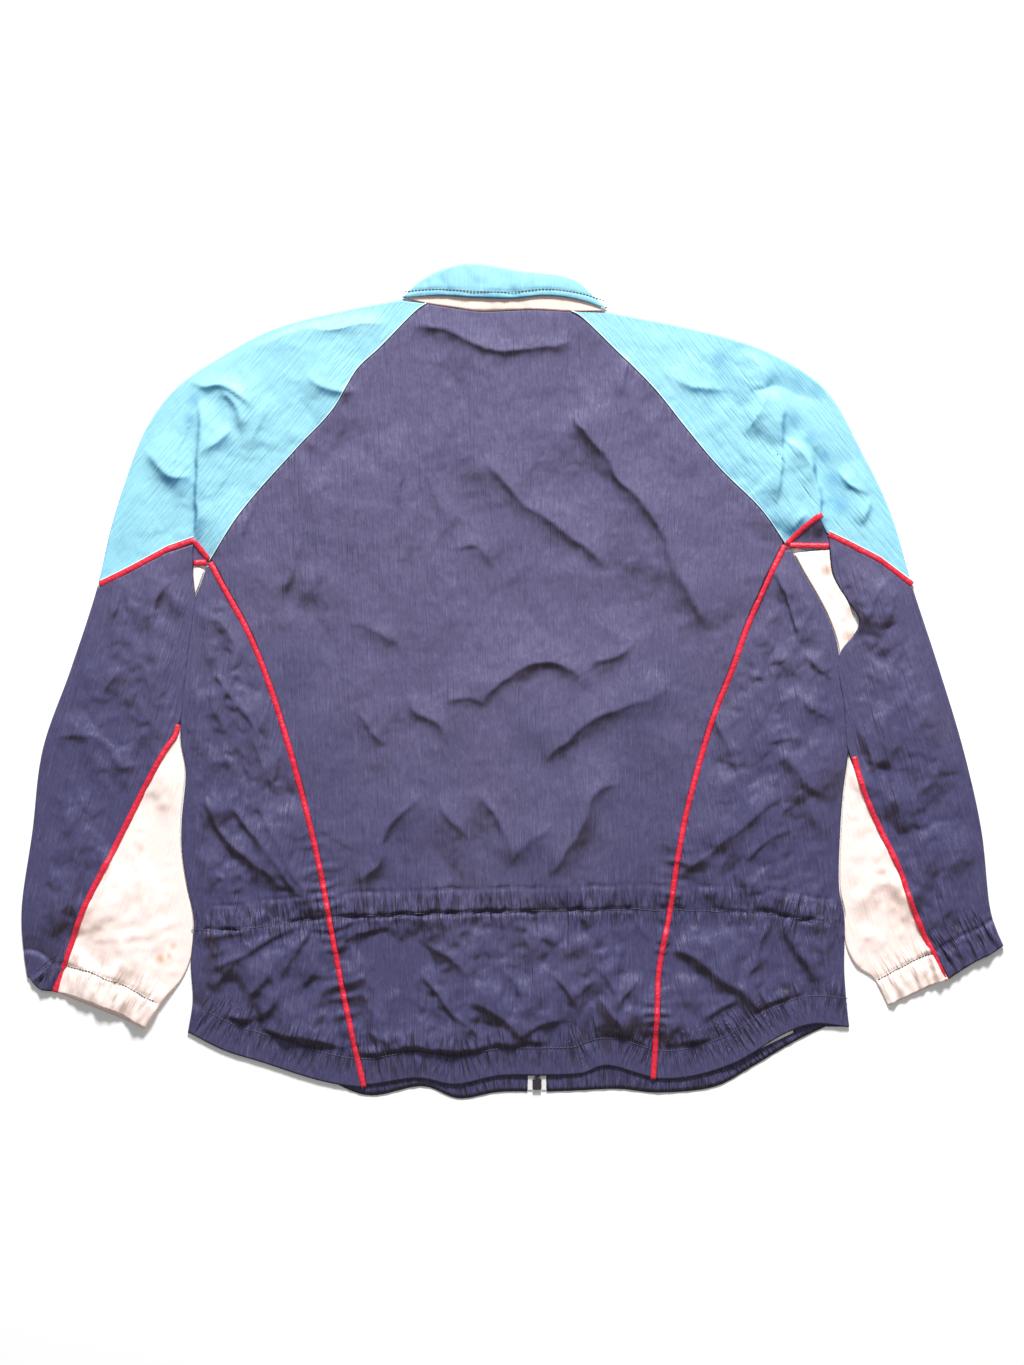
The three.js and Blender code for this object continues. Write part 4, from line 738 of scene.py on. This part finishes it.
# Painted highlight: the folded edge's pale colour stands for the light it catches.
sky_edge_painted_highlight = crinkled_nylon("sky_nylon_edge_painted_highlight", "e6f4f4", "b9dde6", "e6f4f4", "ffffff", 0.0003)
yoke_rows, yoke_columns = 180, 84
for side, way in sides:
    outline = run(sleeve_outer[side], None, 101, yoke_rows, 2.0 * way)
    seam = run(raglan[side], None, None, yoke_rows, -0.2 * way)
    rails = (outline, seam)[::way]
    top = np.linspace(rails[0][0], rails[1][0], yoke_columns + 1)
    bottom = path_points(piping_path[side], yoke_columns, 2.4)
    grid = turned(with_height(patch(*rails, top, bottom)), seam, way == 1)
    piece = cloth_piece(f"yoke_{side}_panel", grid, sky, -38 * way)
    finish_sheet(piece, "sky_nylon", f"yoke_{side}", (0.36, 0.42), 0.072, [f"front_{side}_panel"])

# Lower sleeves: navy nylon from the piped seam to the cuff, turned round the outer edge and back under to
# the gusset's seam, gathered on elastic at the cuff.
to_cuff_left = [(-346, -67), (-368, -107), (-388, -147), (-408, -187), (-428, -227), (-442, -267),
                (-449, -287), (-457, -309)]
to_cuff_right = [(351, -107), (368, -147), (387, -187), (401, -227), (419, -267), (431, -287), (436, -296)]
gusset_line = {
    "left": smooth([(-318, 123), (-320.5, 83), (-327.5, 43), (-334.5, -17), (-335.5, -50)] + to_cuff_left),
    "right": smooth([(317, 140), (317.5, 128), (321, 106), (335, 82), (342, 60), (341, 42), (337, 20),
                     (338, -8), (340, -40), (342, -74)] + to_cuff_right),
}
# The sleeve's inner edge lies folded over the narrow end of the gusset, up to the side of the body.
sleeve_inner = {
    "left": smooth([(-318, 138), (-318, 110), (-316, 83), (-321.5, 43), (-328.5, -17), (-330.5, -38),
                    (-339, -54)] + to_cuff_left),
    "right": smooth([(316, 146), (317.5, 128), (321, 106), (335, 82), (347, 61), (342, 49), (328, 31),
                     (326, 8), (331.5, -25), (334.5, -66)] + to_cuff_right),
}
cuff_line = {
    "left": smooth([(-484, -295), (-474, -306), (-457, -309), (-440, -313), (-410, -324), (-395, -330),
                    (-368, -345)]),
    "right": smooth([(378, -322), (403, -309), (418, -301), (435, -294), (460, -279), (482, -269),
                     (491, -263)]),
}


def cuffed(side, sunk):
    """The upper layer's height with the cuff's gathers and line of stitches, sunk under its neighbours."""
    line, seed = cuff_line[side], {"left": 21, "right": 22}[side]

    def height(x, y):
        away, place = nearest(line, x, y)
        away = np.abs(away)
        out = relief(x, y) + gathers(away - 13, place, 9, 4.8, 22, seed) - sunk
        return np.maximum(out - 1.6 * np.exp(-((away - casing) / 2.0) ** 2), 1.2)
    return height


sleeve_rows, sleeve_columns = 200, 60
for side, way, cuff_ends in (("left", 1, (None, -458)), ("right", -1, (437, None))):
    outline = run(sleeve_outer[side], 96, None, sleeve_rows, 2.0 * way)
    seam = run(sleeve_inner[side], None, None, sleeve_rows, -0.4 * way)
    rails = (outline, seam)[::way]
    top = path_points(yoke_cord[side], sleeve_columns, -2.4)
    cuff = stretch(cuff_line[side], sleeve_columns, *cuff_ends)
    grid = turned(with_height(patch(*rails, top, cuff), cuffed(side, 0.0)), seam, way == 1)
    piece = cloth_piece(f"sleeve_{side}_panel", grid, navy, -14 * way, ((cuff_line[side], casing),))
    finish_sheet(piece, "navy_nylon", f"sleeve_{side}", (0.22, 0.46), 0.075, [])

# Sleeve corners: where each sleeve folds under at the underarm, a corner of its navy cloth shows between the
# two piped seams, just below them.
for side, way, corner, flat, area in (
        ("left", 1, [(-303, 124), (-318, 141), (-319, 120)], (0.016, 0.022), 0.00019),
        ("right", -1, [(276, 139), (310, 167), (318, 136)], (0.031, 0.042), 0.00064)):
    tip, far, low = (np.array(point, float) for point in corner)
    rails = (np.linspace(tip, tip + 0.01, 13), np.linspace(far, low, 13))[::-way]
    top = np.linspace(*(tip, far)[::-way], 19)
    grid = patch(*rails, top, np.linspace(rails[0][-1], rails[1][-1], 19))
    piece = cloth_piece(f"sleeve_{side}_corner", with_height(grid, lambda x, y: relief(x, y) - 0.7), navy)
    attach(piece, "jacket")

# Gussets: one long cream piece down the inner side of each sleeve, narrow at the underarm and wide at the
# cuff, turned round the sleeve's inner edge and yellowed. The left one is marked with small stains; the right
# one has two darker spots near the underarm.
cream = crinkled_nylon("cream_nylon", "fdeae3", "eacfc3", "fdeee8", "ffffff", 0.0007, [
    ((-0.338, -0.263, 0.006), 0.007, "c98d5a"), ((-0.342, -0.273, 0.006), 0.006, "c98d5a"),
    ((-0.351, -0.276, 0.006), 0.008, "c98d5a"), ((0.314, 0.112, 0.006), 0.009, "b98a66"),
    ((0.338, 0.045, 0.006), 0.011, "b98a66")])
gusset_rows, gusset_end_rows, gusset_columns, gusset_bend = 110, 40, 34, -237
inner_end = {
    "left": smooth([(-321, -237), (-322, -270), (-331, -294), (-350, -317), (-368, -345)]),
    "right": smooth([(333.8, -237), (336.5, -264), (347, -283), (363, -294), (378, -322)]),
}
inner_line = {side: joined(run(body, top_y, gusset_bend, gusset_rows, shift),
                           run(inner_end[side], None, None, gusset_end_rows))
              for side, body, top_y, shift in (("left", body_left, 112, -3.2),
                                               ("right", body_right, 128, 3.2))}
for side, way, top_y, cuff_ends, area in (("left", 1, 118, (-456, None), 0.045),
                                          ("right", -1, 133, (None, 435), 0.032)):
    seam = joined(run(gusset_line[side], top_y, gusset_bend, gusset_rows, 0.4 * way),
                  run(gusset_line[side], gusset_bend, None, gusset_end_rows, 0.4 * way))
    rails = (seam, inner_line[side])[::way]
    top = np.linspace(rails[0][0], rails[1][0], gusset_columns + 1)
    cuff = stretch(cuff_line[side], gusset_columns, *cuff_ends)
    grid = turned(with_height(patch(*rails, top, cuff), cuffed(side, 0.9)), seam, way == -1)
    piece = cloth_piece(f"gusset_{side}_panel", grid, cream, -14 * way, ((cuff_line[side], casing),))
    finish_sheet(piece, "cream_nylon", f"gusset_{side}", (0.18, 0.46), area, [])

# Fronts: navy nylon, face down under the back from the front neck to the hem, plain where nothing shows
# them and gathered at the hem, which hangs out below the back's.
zip_x = 25
hem_front = smooth([(-324, -352), (-252, -381), (-190, -402), (-144, -418), (-88, -407), (-54, -418),
                    (-12, -410), (60, -409), (108, -409), (144, -414), (204, -410), (240, -392),
                    (288, -366), (337, -346)])
neck_front = {
    "left": smooth([(-84, 377.5), (-66, 350), (-32, 322), (15.4, 312.5)]),
    "right": smooth([(34.6, 325), (44, 334), (54, 358), (57, 366)]),
}


def front_height(x, y):
    """The under layer lies on the floor, a little puckered along the hem."""
    away, place = nearest(hem_front[::2], x, y)
    return 0.45 + 0.5 * np.maximum(0, gathers(np.abs(away) - 8, place, 13, 1.4, 12, 31))


for side, way, top_y, seam_y, zip_top, hem_ends, cut in (
        ("left", 1, None, 106, (15.6, 312), (-302, 15.6), ((0.34, 0.79), 0.214)),
        ("right", -1, 366, 139, (34.4, 325), (34.4, 314), ((0.3, 0.79), 0.175))):
    raglan_part = run(raglan[side], top_y, seam_y, 60, 0.4 * way)
    side_part = run(side_seam[side], None, None, 90, 0.4 * way)
    outer_rail = np.vstack([raglan_part, side_part[1:]])
    zip_side = np.linspace(zip_top, (zip_top[0], -409), 151)
    rails = (outer_rail, zip_side)[::way]
    grid = patch(*rails, spread(neck_front[side], 60), stretch(hem_front, 60, *hem_ends))
    face_down = with_height(grid, front_height)[:, ::-1]
    piece = cloth_piece(f"front_{side}_panel", face_down, navy, 0, ((hem_front, 14),))
    finish_sheet(piece, "navy_nylon", f"front_{side}", *cut, [])

# Lining of the right front: light white polyester, smooth and plain. Only the strip of it that shows in the
# gap between the two hems is made.
white = crinkled_nylon("white_lining", "f4f0ec", "e0d6d0", "f4f0ec", "ffffff", 0.0003)
inner_top, inner_low, outer_top, outer_low = (237, -338), (237, -371), (281, -328), (281, -350)
lining_level = 2.3
lining = patch(np.linspace(inner_top, inner_low, 9), np.linspace(outer_top, outer_low, 9),
               np.linspace(inner_top, outer_top, 15), np.linspace(inner_low, outer_low, 15))
piece = cloth_piece("lining_strip", with_height(lining, lambda x, y: np.full(x.shape, lining_level)), white)
finish_sheet(piece, "white_lining", "lining_right", (0.046, 0.034), 0.00125, ["front_right_panel"])

# Collar: a cream stand inside and a sky-blue fall turned down over it, open at the zip. Each runs from the
# zip under the neck to one side, up round it, over the back and down again.
neck_line = smooth([(-107, 384), (-85, 378.4), (-66, 350), (-32, 322), (zip_x, 312), (44, 334), (54, 358),
                    (59, 370.9), (76, 371.8), (93, 372)])
collar_top = smooth([(-108, 385.4), (-94, 399), (-71, 412), (-40, 418.5), (9, 411), (50, 406), (67, 399),
                     (79, 388), (93, 375)])
topstitch = 6.5


def collar_ring(name, material, low, top, front_low, front_rise, levels, roll, reach):
    """Rows of points round the neck, each from the ring's lower edge to its upper one.

    The levels are its heights at the back and at the front, the roll how far it puffs up, and the reach how
    far it stops from the zip's middle."""
    s = np.linspace(0, 1, 15)[:, None]
    back, front = levels
    middle, radius = (back + front) / 2, (back - front) / 2
    round_back = 76
    rows = []

    def front_rows(start, end):
        for u in np.linspace(start, end, 40):
            point = spread(neck_line, 1, u, min(1, u + 1e-6))[0] if u < 1 else neck_line[-1]
            rise = 46 * math.sin(math.pi * u) ** 1.5
            base = point + np.array([0, 0.3 + front_low * (1.6 + rise)])
            tip = point + np.array([0, 0.3 + front_rise * (1.6 + rise)])
            line = base * (1 - s) + tip * s
            rows.append(np.column_stack([line, np.full(len(s), front)]))

    def turn_rows(u, out, angles):
        base, tip = spread(low, 1)[u], spread(top, 1)[u]
        for angle in np.radians(angles):
            line = base * (1 - s) + tip * s + np.array([out * radius * math.sin(angle), 0])
            rows.append(np.column_stack([line, np.full(len(s), middle + radius * math.cos(angle))]))

    front_rows(share_at_x(neck_line, zip_x - reach), 0)
    turn_rows(0, -1, [150, 120, 90, 60, 30])
    for i, (base, tip) in enumerate(zip(spread(low, round_back), spread(top, round_back))):
        u = i / round_back
        line = base * (1 - s) + tip * s
        x, y = line.T
        lift = roll * (0.4 + 0.6 * np.sin(math.pi * s[:, 0] ** 0.8)) * math.sin(math.pi * u) ** 0.5
        crumple = 0.5 * wander(x, y, 22, 41) + 0.8 * facets(x, y, 12, 42) + 0.3 * facets(x, y, 5, 43)
        stitched = 0.5 * np.exp(-((np.hypot(*(line - base).T) - topstitch) / 1.4) ** 2) if roll else 0
        rows.append(np.column_stack([line, back + lift + crumple * math.sin(math.pi * u) - stitched]))
    turn_rows(1, 1, [30, 60, 90, 120, 150])
    front_rows(1, share_at_x(neck_line, zip_x + reach))
    return cloth_piece(name, np.stack(rows)[:, ::-1], material, thickness=0.7)


stand_low = smooth([(-105, 383.8), (-85, 378.6), (-59, 374.1), (-34, 371.1), (21, 372.1), (59, 370.6),
                    (93, 371.6)])
stand_top = np.stack([collar_top[:, 0] * 0.965, collar_top[:, 1] - 1], 1)
# The stand's cloth is the gussets', painted darker all over as the fall's painted shadow on it.
stand_cloth_painted_shade = crinkled_nylon("cream_nylon_painted_shade", "ecd6cb", "d3b3a6", "ecd6cb", "f6e8e0", 0.0009)
piece = collar_ring("collar_stand_panel", stand_cloth_painted_shade, stand_low, stand_top, 0, 1, (3.7, 2.1), 0, 9.3)
finish_sheet(piece, "cream_nylon", "collar_stand", (0.45, 0.03), 0.0112, [])
fall_low = smooth([(-106, 384.6), (-71, 386), (-40, 384), (0, 383), (33, 386), (67, 382), (92, 374)])
piece = collar_ring("collar_fall_panel", sky, fall_low, collar_top, 0.3, 1, (5.4, 0.7), 2.2, 12)
finish_sheet(piece, "sky_nylon", "collar_fall", (0.45, 0.03), 0.0082, ["collar_stand_panel"])

# Piping: red nylon folded over a cord and set into the seam, so that it stands up as a round bead. It is
# pinched a little by every few stitches.
# Dyed nylon drawn tight over a cord: a clear red with a low gloss, dented by its stitches.
piping, tree = new_material("red_piping_nylon")
place = add(tree, "ShaderNodeTexCoord").outputs["Object"]
pinches = add(tree, "ShaderNodeTexNoise", {"Vector": place, "Scale": 260.0, "Detail": 3.0})
blotches = add(tree, "ShaderNodeTexNoise", {"Vector": place, "Scale": 45.0, "Detail": 2.0})
colour = add(tree, "ShaderNodeMix", {"Factor": blotches.outputs["Fac"], "A": linear("c8102c"),
                                     "B": linear("ec2f4b")}, data_type="RGBA")
bump = add(tree, "ShaderNodeBump", {"Height": pinches.outputs["Fac"], "Distance": 0.0012})
shader = add(tree, "ShaderNodeBsdfPrincipled", {"Base Color": colour.outputs["Result"], "Roughness": 0.42,
                                                "Normal": bump.outputs["Normal"]})
add(tree, "ShaderNodeOutputMaterial", {"Surface": shader.outputs["BSDF"]})


def bead(name, path, node, width=6.0, height=2.1, material=piping):
    """Corded strip along a seam, half round in section, on the cloth's surface."""
    path = np.array(path, float)
    points = spread(path, max(3, round(span(path)[-1] / 2.5)))
    sideways = moved(points, 1.0) - points
    base = relief(points[:, 0], points[:, 1])
    rounds = np.radians(np.linspace(0, 180, 9))
    section = [(-math.cos(a) * width / 2, math.sin(a) * height - 0.5) for a in rounds]
    section += [(width / 4, -1.1), (-width / 4, -1.1)]
    pinch = 1 + 0.1 * wander(points[:, 0] * 1.7, points[:, 1] * 1.7, 7, 51)
    rings = np.stack([np.column_stack([points + sideways * (across * pinch)[:, None], base + up * pinch])
                      for across, up in section], 1)
    count, sides = rings.shape[:2]
    index = np.arange(count * sides).reshape(count, sides)
    following = np.roll(index, -1, axis=1)
    faces = np.stack([index[:-1], index[1:], following[1:], following[:-1]], -1).reshape(-1, 4).tolist()
    faces += [index[0].tolist(), index[-1, ::-1].tolist()]
    mesh = bpy.data.meshes.new(name)
    mesh.from_pydata((rings.reshape(-1, 3) / 1000).tolist(), [], faces)
    mesh.shade_smooth()
    mesh.materials.append(material)
    piece = bpy.data.objects.new(name, mesh)
    scene.collection.objects.link(piece)
    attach(piece, "jacket")
    if node:
        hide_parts(node)


for side, line, top, gusset_top in (("left", princess_left, 120, -42), ("right", princess_right, 137, -74)):
    bead(f"piping_back_{side}_cord", run(line, top, None, 180), f"piping_back_{side}")
    bead(f"piping_sleeve_{side}_cord", run(gusset_line[side], gusset_top, None, 100), f"piping_sleeve_{side}")
bead("piping_yoke_left_cord", piping_path["left"][:4], "piping_yoke_left")
bead("piping_yoke_left_end", piping_path["left"][3:], "piping_yoke_left")
bead("piping_yoke_right_end", piping_path["right"][:4], "piping_yoke_right")
bead("piping_yoke_right_cord", piping_path["right"][4:], "piping_yoke_right")
bead("piping_underarm_left_cord", [(-317.6, 119.3), (-305, 120)], "piping_underarm_left")
bead("piping_underarm_right_cord", [(277, 137), (316.6, 136.2)], "piping_underarm_right")

# Seam edges: the yokes' sky-blue nylon is folded over and pressed along the raglan seams and above the
# piping, where the bent cloth catches the light: its pale thin edge is a painted highlight.
for side, way in sides:
    bead(f"yoke_{side}_raglan_edge", run(raglan[side], None, None, 120, -1.0 * way), None, 1.3, 1.7, sky_edge_painted_highlight)
    bead(f"yoke_{side}_piping_edge", yoke_cord[side] + np.array([0, 3.5]), None, 1.2, 1.5, sky_edge_painted_highlight)

# Stitches: spun polyester thread, dark along the collar's edge and the white cuffs, navy at the waist and the
# hem. Each stitch is a short length of thread that sinks into the cloth at both ends.
# Spun thread is matt. It is drawn 1 mm thick, more than the real one, so that it shows in the picture.
dark_thread = plain_material("dark_polyester_thread", {"Base Color": linear("2c3446"), "Roughness": 0.6})
navy_thread = plain_material("navy_polyester_thread", {"Base Color": linear("35324c"), "Roughness": 0.6})


def grain(name, middle, ring, belt, tip):
    """Small closed grain along Z, in mm, to be repeated: a ring of points at two levels between two tips."""
    points = [(*middle, -tip)] + [(x, y, z) for z in (-belt, belt) for x, y in ring] + [(*middle, tip)]
    n = len(ring)
    faces = [(0, 1 + (k + 1) % n, 1 + k) for k in range(n)]
    faces += [(1 + k, 1 + (k + 1) % n, 1 + n + (k + 1) % n, 1 + n + k) for k in range(n)]
    faces += [(1 + 2 * n, 1 + n + k, 1 + n + (k + 1) % n) for k in range(n)]
    mesh = bpy.data.meshes.new(name)
    mesh.from_pydata([tuple(c / 1000 for c in point) for point in points], [], faces)
    return bpy.data.objects.new(name, mesh)


def repeated(name, points, copy, pitch, material):
    """Copies of a small object at an even pitch along a line of points, in mm, as one mesh."""
    curve = bpy.data.curves.new(name + "_path", "CURVE")
    curve.dimensions = "3D"
    line = curve.splines.new("POLY")
    line.points.add(len(points) - 1)
    line.points.foreach_set("co", np.column_stack([points / 1000, np.ones(len(points))]).ravel())
    path = bpy.data.objects.new(name + "_path", curve)
    scene.collection.objects.link(path)
    tree = bpy.data.node_groups.new(name, "GeometryNodeTree")
    tree.interface.new_socket("Path", in_out="INPUT", socket_type="NodeSocketGeometry")
    sockets = [tree.interface.new_socket(key, in_out="INPUT", socket_type=kind).identifier for key, kind in (
        ("Copy", "NodeSocketObject"), ("Pitch", "NodeSocketFloat"), ("Material", "NodeSocketMaterial"))]
    tree.interface.new_socket("Copies", in_out="OUTPUT", socket_type="NodeSocketGeometry")
    given = add(tree, "NodeGroupInput").outputs
    even = add(tree, "GeometryNodeCurveToPoints", {"Curve": given["Path"], "Length": given["Pitch"]},
               mode="LENGTH")
    single = add(tree, "GeometryNodeObjectInfo", {"Object": given["Copy"]})
    placed = add(tree, "GeometryNodeInstanceOnPoints", {
        "Points": even.outputs["Points"], "Instance": single.outputs["Geometry"],
        "Rotation": even.outputs["Rotation"]})
    real = add(tree, "GeometryNodeRealizeInstances", {"Geometry": placed.outputs["Instances"]})
    painted = add(tree, "GeometryNodeSetMaterial", {"Geometry": real.outputs["Geometry"],
                                                    "Material": given["Material"]})
    add(tree, "NodeGroupOutput", {"Copies": painted.outputs["Geometry"]})
    nodes = path.modifiers.new("copies", "NODES")
    nodes.node_group = tree
    for socket, value in zip(sockets, (copy, pitch / 1000, material)):
        nodes[socket] = value
    made = bpy.data.meshes.new_from_object(path.evaluated_get(bpy.context.evaluated_depsgraph_get()))
    made.name = name
    bpy.data.objects.remove(path)
    piece = bpy.data.objects.new(name, made)
    scene.collection.objects.link(piece)
    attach(piece, "jacket")
    return piece


stitch_length, thread = 3.0, 1.0
thread_ring = [(math.cos(a) * thread / 2, math.sin(a) * thread / 2) for a in (0.3, 1.87, 3.44, 5.01)]
stitch = grain("stitch", (0, 0), thread_ring, stitch_length / 3, stitch_length / 2)


def on_cloth(line, height=relief):
    """A plan line with the height at which a stitch lies on the cloth."""
    return np.column_stack([line, height(line[:, 0], line[:, 1]) + 0.35])


for side, low, high in (("left", -454, -370), ("right", 380, 433)):
    line = moved(stretch(cuff_line[side], 60, low, high), casing)
    wavy = line + 0.8 * wander(line[:, 0], line[:, 1], 8, 61)[:, None]
    repeated(f"cuff_{side}_stitches", on_cloth(wavy, cuffed(side, 0.5)), stitch, 3.2, dark_thread)
lows, tops = spread(fall_low, 90, 0.02, 0.98), spread(collar_top, 90, 0.02, 0.98)
rise = (tops - lows) / np.hypot(*(tops - lows).T)[:, None]
level = 5.7 + 2.1 * np.sqrt(np.sin(math.pi * np.linspace(0.02, 0.98, 91)))
repeated("collar_stitches", np.column_stack([lows + topstitch * rise, level]), stitch, 3.4, dark_thread)
waist_line = spread(waist, 300, 0.015, 0.985)
waist_line[:, 1] += -3 + 1.2 * wander(waist_line[:, 0], waist_line[:, 1], 9, 14)
repeated("waist_stitches", on_cloth(waist_line), stitch, 3.2, navy_thread)
hem_line = moved(spread(hem_back, 300, 0.01, 0.99), casing)
repeated("hem_stitches", on_cloth(hem_line), stitch, 3.4, navy_thread)

# Zip: navy woven tapes and a moulded coil between the fronts, stiffened white ends, and a slider, box and
# pull tab in dark enamel. Only the pull tab moves: it turns on the slider.
# Woven tape is matt and finely ribbed across, with ribs about 1 mm apart.
tape, tree = new_material("woven_polyester_tape")
place = add(tree, "ShaderNodeTexCoord").outputs["Object"]
ribs = add(tree, "ShaderNodeTexWave", {"Vector": place, "Scale": 320.0}, bands_direction="Y")
bump = add(tree, "ShaderNodeBump", {"Height": ribs.outputs["Fac"], "Distance": 0.0002})
shader = add(tree, "ShaderNodeBsdfPrincipled", {"Base Color": linear("3c3858"), "Roughness": 0.8,
                                                "Normal": bump.outputs["Normal"]})
add(tree, "ShaderNodeOutputMaterial", {"Surface": shader.outputs["BSDF"]})
# Enamel baked on cast zinc: near black with a glossy coat.
enamel = plain_material("dark_enamelled_zinc", {"Base Color": linear("2b2730"), "Roughness": 0.3,
                                                "Coat Weight": 0.5})
# Nylon film melted into the tape's end: smooth, white and stiff.
stiff = plain_material("white_nylon_film", {"Base Color": linear("e9e6e4"), "Roughness": 0.35})
# Moulded nylon thread: dark, with the soft gloss of plastic that was never polished.
coil = plain_material("moulded_nylon_coil", {"Base Color": linear("3a3650"), "Roughness": 0.45})
for node, material in (("zip_tape_left", tape), ("zip_tape_right", tape), ("zip_end_left", stiff),
                       ("zip_end_right", stiff), ("zip_box", enamel), ("zip_slider", enamel),
                       ("zip_pull_tab", enamel)):
    made = bpy.data.objects[node].data
    made.materials.clear()
    made.materials.append(material)

# Coil: two rows of moulded nylon loops, one sewn to each tape, that lock into each other along the middle
# from the box to the slider. Near the slider the rows rise off the surface.
loop_pitch = 1.5
for side, sign in (("left", -1), ("right", 1)):
    middle = sign * 1.15
    rim = [(middle + 1.75 * math.cos(a), 1.05 * math.sin(a)) for a in np.linspace(0, 2 * math.pi, 9)[:-1]]
    loop = grain("coil_loop", (middle, 0), rim, 0.2, 0.36)
    y = np.linspace(-402, 344, 374) + loop_pitch / 2 * (side == "right")
    rise = 1.1 + 4.2 * ease((y - 262) / 48)
    path = np.column_stack([np.full(len(y), float(zip_x)), y, rise])
    row = repeated(f"zip_coil_{side}", path, loop, loop_pitch, coil)
    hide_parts("zip_chain")
